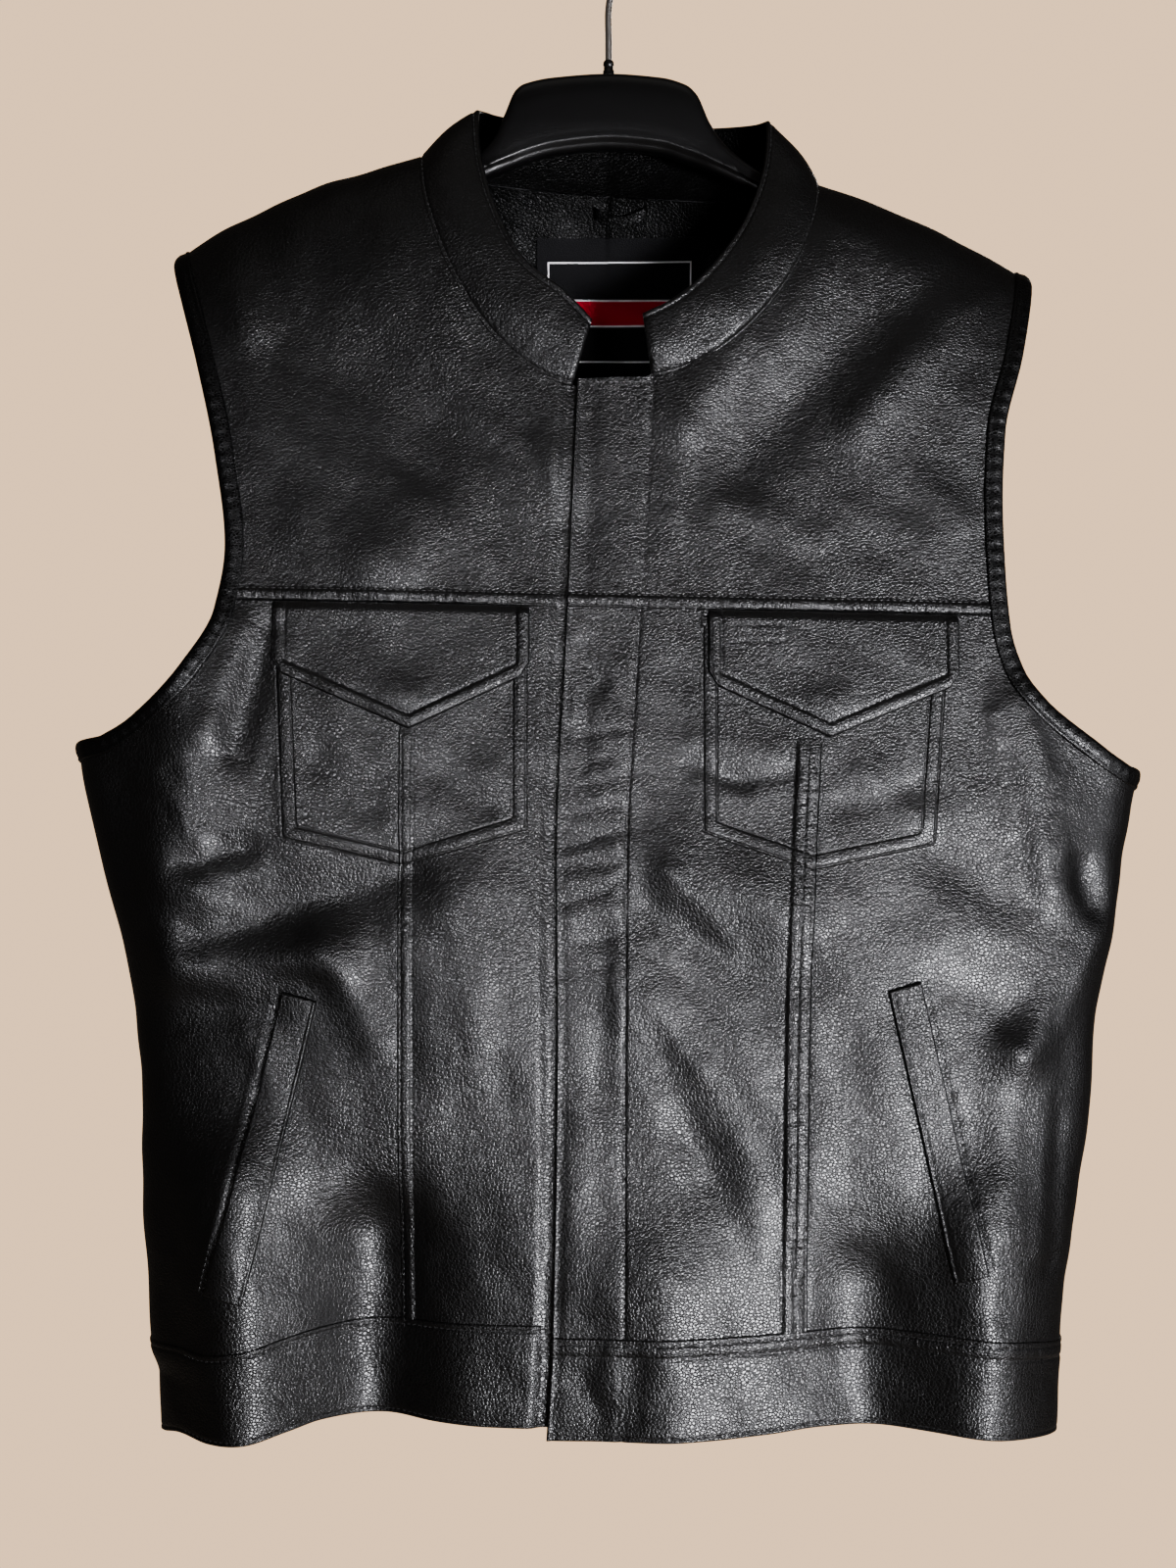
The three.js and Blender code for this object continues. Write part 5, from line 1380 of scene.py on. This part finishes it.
def hanger_body():
    rows = {key: values.copy() for key, values in HANGER.items()}
    for i, x in enumerate(rows["x"]):
        if rows["top"][i] == 0:
            side = "right" if x < 0 else "left"
            slope = (shoulder_z(side, x + 1) - shoulder_z(side, x - 1)) / 2
            rows["top"][i] = shoulder_z(side, x) - (SHELL + HANGER_SEAT) * math.hypot(1, slope)
    first, last = rows["x"][0], rows["x"][-1]
    ends = HANGER_END * (1 - np.cos(np.linspace(0, math.pi / 2, 9)))
    middle = np.arange(first + HANGER_END + 1, last - HANGER_END, 1.6)
    x = np.concatenate([first + ends[1:], middle, last - ends[:0:-1]])
    top, bottom, thick = (curve_of(rows, "x", key)(x) for key in ("top", "bottom", "thick"))
    end = np.minimum(x - first, last - x)
    close = np.sqrt(np.maximum(1 - (1 - np.minimum(end / HANGER_END, 1)) ** 2, 0)) * 0.97
    close = np.where(end >= HANGER_END, 1.0, close)
    sides = 56
    turn = 2 * math.pi * np.arange(sides) / sides
    up = signed_power(np.cos(turn), 0.6)
    out = signed_power(np.sin(turn), 0.45)
    half = (top - bottom) / 2
    z = (top + bottom)[:, None] / 2 + up[None] * (half * close)[:, None]
    above = z - bottom[:, None]
    ledge = HANGER_LEDGE["deep"] * (1 - soft((above - HANGER_LEDGE["high"]) / 0.8))
    lip = 0.5 * hump(above - HANGER_LEDGE["high"] - 1.6, 1.0)
    deep = np.abs(out)[None] * (thick * close)[:, None] - ledge + lip * close[:, None]
    y = np.sign(out)[None] * np.maximum(deep, 0.2)
    y = np.where(np.abs(out)[None] < 0.05, 0, y)
    rings = np.stack([x[:, None] + 0 * y, y, z], -1)
    return tube_mesh("hanger_arms", rings, (plastic(),))


def wire_path():
    """Centre line of the hook's wire: a shank, a bend to one side, and the crown over the rail."""
    radius = HOOK + WIRE
    centre_z = WIRE - radius
    points = [(0, FERRULE["bottom"] + 0.9), (0, -72), (0, -54), (1.6, -46.5)]
    turns = np.radians(np.linspace(-62, 208, 13))
    points += [(radius * math.cos(a), centre_z + radius * math.sin(a)) for a in turns]
    points = np.array(points)
    ahead = 2 * points[:1] - points[1:2]
    behind = 2 * points[-1:] - points[-2:-1]
    ring = np.concatenate([ahead, points, behind])
    out = []
    for i in range(len(points) - 1):
        a, b, c, d = ring[i:i + 4]
        knots = np.cumsum([0] + [np.linalg.norm(q - p) ** 0.5 for p, q in ((a, b), (b, c), (c, d))])
        for t in np.linspace(knots[1], knots[2], 9)[:-1]:
            def between(p, q, i0, i1):
                return p + (q - p) * (t - knots[i0]) / (knots[i1] - knots[i0])
            ab, bc, cd = between(a, b, 0, 1), between(b, c, 1, 2), between(c, d, 2, 3)
            out.append(between(between(ab, bc, 0, 2), between(bc, cd, 1, 3), 1, 2))
    out.append(points[-1])
    return np.array(out)


def hook():
    line = wire_path()
    tangent = unit(np.gradient(line, axis=0))
    side = np.stack([tangent[:, 1], -tangent[:, 0]], 1)
    sides = 18
    turn = 2 * math.pi * np.arange(sides) / sides
    count = len(line)
    end = np.ones(count)
    end[-1], end[-2] = 0.72, 0.96
    radius = (WIRE * end)[:, None]
    x = line[:, :1] + side[:, :1] * np.cos(turn)[None] * radius
    z = line[:, 1:] + side[:, 1:] * np.cos(turn)[None] * radius
    y = np.sin(turn)[None] * radius
    return tube_mesh("hook_wire", np.stack([x, y, z], -1), (steel(),))


def ferrule():
    bore, radius, top = FERRULE["bore"], FERRULE["radius"], FERRULE["top"]
    low = FERRULE["bottom"] + 0.9
    profile = np.array([
        (bore, low), (radius, low), (radius, low + 2), (radius - 0.5, low + 2.5), (radius - 0.5, top - 3),
        (radius - 0.1, top - 2.4), (radius - 0.3, top - 1), (radius - 0.7, top - 0.2), (bore + 0.1, top),
    ])
    turn = 2 * math.pi * np.arange(32) / 32
    x = profile[:, :1] * np.cos(turn)
    y = profile[:, :1] * np.sin(turn)
    z = profile[:, 1:] + 0 * x
    return tube_mesh("hook_ferrule", np.stack([x, y, z], -1), (plastic(),), closed_along=True)


def stitches(name, rows):
    """Short raised threads along lines of points, all in one mesh. Each row is points and their normals."""
    ring = 5
    places = ((-1, 0.0), (-0.55, 1.0), (0.55, 1.0), (1, 0.0))
    turn = 2 * math.pi * np.arange(ring) / ring
    template, tips = [], []
    for share, wide in places:
        if wide == 0:
            tips.append(len(template))
            template.append((share, 0, 0))
        else:
            template += [(share, wide * math.cos(a), wide * math.sin(a)) for a in turn]
    template = np.array(template)
    first, second, low, high = 1, 1 + ring, tips[0], tips[1]
    faces = []
    for k in range(ring):
        after = (k + 1) % ring
        faces.append((low, first + after, first + k))
        faces.append((high, second + k, second + after))
        faces.append((first + k, first + after, second + after))
        faces.append((first + k, second + after, second + k))
    faces = np.array(faces)
    vertices, polygons = [], []
    total = 0
    for points, normals in rows:
        lengths = lengths_along(points)
        count = int(lengths[-1] / STITCH_PITCH)
        at = (np.arange(count) + 0.5) * lengths[-1] / max(count, 1)
        centre = places_along(at, lengths, points)
        ahead = places_along(at + STITCH_LENGTH / 2, lengths, points)
        behind = places_along(at - STITCH_LENGTH / 2, lengths, points)
        along = unit(ahead - behind)
        up = unit(places_along(at, lengths, normals))
        across = unit(np.cross(up, along))
        for k in range(count):
            body = (
                centre[k]
                + template[:, :1] * along[k] * STITCH_LENGTH / 2
                + template[:, 1:2] * across[k] * STITCH_RADIUS
                + template[:, 2:3] * up[k] * STITCH_RADIUS
            )
            vertices.append(body)
            polygons.append(faces + total)
            total += len(template)
    return mesh_of(name, np.concatenate(vertices), np.concatenate(polygons), (THREAD,))


def row_on(side, x, z, raise_by, lift=-0.05):
    """A stitched row on a front, on its panel's outer face."""
    p, n = on_body(side, "front", x, z)
    rise = relief(True, x, z) + raise_by(side, x, z) + lift
    return moved(p, n, rise), n


def along_line(corners, step):
    """The x and z of points at even steps along a line of (x, z) corners."""
    corners = np.array(corners, float)
    lengths = lengths_along(corners)
    at = np.linspace(0, lengths[-1], max(int(lengths[-1] / step), 2))
    return places_along(at, lengths, corners).T


def yoke_rows(side):
    sign = side_sign(side)
    outer = sign * (ARMHOLE[side]["front"][YOKE_ROW] - 2)
    inner = placket_x(YOKE_Z) + 2 if side == "left" else placket_x(YOKE_Z) - 4
    rows = []
    for high in (1.5, 6.6):
        x = np.arange(min(inner, outer), max(inner, outer), 2.0)
        rows.append(row_on(side, x, yoke_z(x) + high, yoke_raise))
    return rows


def upright_rows(side):
    rows = []
    for far in (1.3, 6.6) if side == "right" else (1.3, 6.8):
        z = np.arange(BAND_TOP - 2.0, FLAP_CLEAR - 3, 2.0)
        x = seam_x(side, z) - side_sign(side) * far
        rows.append(row_on(side, x, z, centre_raise))
    return rows


def placket_rows():
    rows = []
    for low, high, raise_by in (
        (YOKE_Z + 8, PLACKET_TOP - 2, yoke_raise),
        (BAND_TOP + 2, YOKE_Z - 2, centre_raise),
        (HEM + 3, BAND_TOP - 3, band_raise),
    ):
        z = np.arange(low, high, 2.0)
        rows.append(row_on("left", placket_stitch_x(z), z, raise_by))
        rows.append(row_on("left", placket_x(z) + 1.9, z, raise_by))
    x = np.arange(placket_x(PLACKET_TOP) + 2, 20, 2.0)
    rows.append(row_on("left", x, PLACKET_TOP - 2.0 + 0 * x, yoke_raise))
    return rows


def pocket_rows(side):
    """Both rows of a chest pocket, cut where the upright seam parts the panels."""
    corners = POCKETS[side]
    middle_x = corners["x"].mean()
    rows = []
    for inset in (0.0, POCKET_ROWS):
        upright = np.abs(corners["x"] - middle_x) > 30
        x = corners["x"] + np.sign(middle_x - corners["x"]) * inset * upright
        z = corners["z"] + inset * (corners["z"] < POCKET_MIDDLE_Z)
        line_x, line_z = along_line(list(zip(x, z)), 1.7)
        shown = line_z < POCKET_SHOWN_Z
        split = side_sign(side) * (line_x - seam_x(side, line_z))
        for keep, raise_by in ((split < -1, centre_raise), (split > 1, side_raise)):
            chosen = keep & shown
            runs = np.split(np.arange(len(line_x)), np.flatnonzero(np.diff(chosen.astype(int))) + 1)
            for run in runs:
                if len(run) > 3 and chosen[run[0]]:
                    rows.append(row_on(side, line_x[run], line_z[run], raise_by))
    return rows


def flap_rows(side):
    f = FLAPS[side]
    rows = []
    for inset in (1.7, FLAP_RIM):
        left, right = f["x1"] + inset, f["x2"] - inset
        x = [left, left, left + 2.5, f["tip_x"], right - 2.5, right, right]
        side1, side2 = f["side1"] + inset * 1.1, f["side2"] + inset * 1.1
        top, tip = YOKE_Z - 9, f["tip_z"] + inset * 1.12
        z = [top, side1 + 3.2, side1 - 0.4, tip, side2 - 0.4, side2 + 3.2, top]
        line_x, line_z = along_line(list(zip(x, z)), 1.5)
        edge = 0.5 if inset < FLAP_RIM - 1 else 0.0
        high = FLAP_UNDER + FLAP_THICK + edge - 0.45 + snap_bulge(f, line_x, line_z)
        rows.append(row_on(side, line_x, line_z, lambda *_: high, 0.1))
    if side == "left":
        s = PEN_SLOT
        box = [(s["x1"], s["top"]), (s["x2"], s["top"]), (s["x2"], s["bottom"]), (s["x1"], s["bottom"])]
        line_x, line_z = along_line([*box, box[0]], 1.0)
        high = FLAP_UNDER + FLAP_THICK - 0.4 + 0 * line_x
        rows.append(row_on(side, line_x, line_z, lambda *_: high, 0.1))
    return rows


def welt_rows(side):
    """Stitching of the front beside both long edges of a welt."""
    w = WELTS[side]
    t = np.linspace(0.0, 1.0, 90)
    rows = []
    for off in (-0.5 * w["width"] - 1.5, 0.5 * w["width"] + 3.4):
        share = off * side_sign(side) / w["width"]
        x = mix(w["top_x"], w["bottom_x"], t) + share * w["width"]
        z = mix(w["top_z"], w["bottom_z"], t) + side_sign(side) * share * WELT_SKEW
        rows.append(row_on(side, x, z, side_raise))
    return rows


def band_rows(side):
    sign = side_sign(side)
    inner = placket_x(HEM) + 1.5 if side == "left" else placket_x(HEM) - 3
    rows = []
    x = inner + sign * np.arange(0, ROW_REACH, 2.0)
    x = x[np.abs(x) < ROW_REACH]
    rows.append(row_on(side, x, hem_z(x, side) + HEM_ROW, band_raise))
    rows.append(row_on(side, x, band_top_z(x, side) - BAND_ROW, band_raise))
    if side == "left":
        x = x[x < 150]
        rows.append(row_on(side, x, band_top_z(x, side) - LEFT_BAND_ROW, band_raise))
    return rows


def collar_rows(base, out, waves):
    rows = []
    far = distances(base)
    for edge, off in (("top", COLLAR_TOP_ROW), ("bottom", COLLAR_SEAM_ROW)):
        near = np.abs(far[edge] - off).argmin(0)
        columns = np.arange(base.shape[1])[2:-2]
        p, n = base[near[columns], columns], out[near[columns], columns]
        rows.append((p + n * (waves[near[columns], columns] - 0.45)[:, None], n))
    return rows


def back_rows():
    rows = []
    for side in SIDES:
        x = side_sign(side) * np.arange(0, ROW_REACH, 3.0)
        for z in (hem_z(x) + HEM_ROW, band_top_z(x) - BAND_ROW):
            p, n = on_body(side, "back", x, z)
            rows.append((moved(p, n, relief(False, x, z) + BAND_PROUD - 0.4), n))
    return rows


# Camera at the photograph's viewing angle: level, at the height of the chest
camera_data = bpy.data.cameras.new("camera")
camera_data.sensor_width = 36
camera_data.lens = 50.56
camera = bpy.data.objects.new("camera", camera_data)
camera.location = (-0.0112, -1.2, -0.476)
camera.rotation_euler = (math.pi / 2, 0, 0)
bpy.context.scene.collection.objects.link(camera)
bpy.context.scene.camera = camera
bpy.context.scene.view_settings.look = "AgX - Medium High Contrast"

pieces = {}
for side in SIDES:
    pieces[f"yoke_{side}"] = yoke(side)
    pieces[f"front_centre_{side}"] = centre_front(side)
    pieces[f"front_side_{side}"] = side_front(side)
    pieces[f"waistband_front_{side}"] = front_band(side)
    pieces[f"armhole_binding_{side}"] = binding(side)
    pieces[f"pocket_flap_{side}"] = flap(side)
    pieces[f"pocket_welt_{side}"] = welt(side)
pieces["back_panel"] = back_panel()
pieces["waistband_back"] = back_band()
pieces["collar"], collar_form = collar()
pieces["neck_facing"] = facing()
pieces["neck_label"] = label()
pieces["hanging_loop"] = loop()
pieces["hanger_body"] = hanger_body()
pieces["hanger_hook"] = hook()
pieces["hanger_ferrule"] = ferrule()

for node, piece in pieces.items():
    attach(piece, "root")
    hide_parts(node)

rows = []
for side in SIDES:
    rows += yoke_rows(side) + upright_rows(side) + pocket_rows(side) + flap_rows(side)
    rows += welt_rows(side) + band_rows(side)
rows += placket_rows() + collar_rows(*collar_form) + back_rows()
threads = stitches("stitching", rows)
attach(threads, "root")


def area_light(name, place, target, size, power, color, spread=180):
    data = bpy.data.lights.new(name, "AREA")
    data.spread = math.radians(spread)
    data.shape = "RECTANGLE"
    data.size, data.size_y = size
    data.energy = power
    data.color = color
    lamp = bpy.data.objects.new(name, data)
    lamp.location = place
    aim = Vector(target) - Vector(place)
    lamp.rotation_mode = "QUATERNION"
    lamp.rotation_quaternion = aim.to_track_quat("-Z", "Y")
    lamp.visible_camera = False
    bpy.context.scene.collection.objects.link(lamp)


def surroundings(seen, seen_strength, lit, lit_strength):
    """A pale room, which lights the vest only faintly."""
    world = bpy.data.worlds.new("world")
    world.use_nodes = True
    nodes, links = world.node_tree.nodes, world.node_tree.links
    dim = nodes["Background"]
    dim.inputs["Color"].default_value = (*lit, 1)
    dim.inputs["Strength"].default_value = lit_strength
    wall_color = nodes.new("ShaderNodeBackground")
    wall_color.inputs["Color"].default_value = (*seen, 1)
    wall_color.inputs["Strength"].default_value = seen_strength
    both = nodes.new("ShaderNodeMixShader")
    links.new(nodes.new("ShaderNodeLightPath").outputs["Is Camera Ray"], both.inputs[0])
    links.new(dim.outputs[0], both.inputs[1])
    links.new(wall_color.outputs[0], both.inputs[2])
    links.new(both.outputs[0], nodes["World Output"].inputs["Surface"])
    bpy.context.scene.world = world


area_light("key", (1.2, -2.5, -1.3), (0.26, 0, -0.58), (0.9, 0.95), 3.2, (0.96, 0.955, 1.0), 16)
area_light("key_left", (1.2, -2.5, -1.3), (-0.13, 0, -0.38), (0.9, 0.95), 2.4, (0.96, 0.955, 1.0), 12)
area_light("low_left", (-0.45, -2.6, -0.5), (-0.1, 0, -0.45), (0.7, 0.3), 0.3, (0.95, 0.95, 1.0), 16)
area_light("side", (1.9, -0.9, -0.6), (0.1, 0, -0.55), (0.4, 1.5), 8, (0.95, 0.95, 1.0))
area_light("top", (0.0, -0.9, 1.3), (0, 0, -0.4), (1.6, 0.8), 1.5, (1.0, 0.97, 0.93))
area_light("behind", (0.3, 2.4, 0.1), (0, 0, -0.5), (1.6, 1.4), 40, (1.0, 0.97, 0.94))
surroundings((1.0, 0.7, 0.45), 1.15, (0.6, 0.52, 0.45), 0.13)


def floor():
    """A pale round floor, well below the hem."""
    count = 96
    turn = 2 * math.pi * np.arange(count) / count
    radius, z = FLOOR["radius"], FLOOR["z"]
    ring = np.stack([radius * np.cos(turn), radius * np.sin(turn), np.full(count, z)], 1)
    vertices = np.concatenate([ring, [[0, 0, z]]])
    faces = [(k, (k + 1) % count, count) for k in range(count)]
    plate = mesh_of("floor", vertices, faces, (pale("floor", (0.62, 0.55, 0.48)),))


floor()
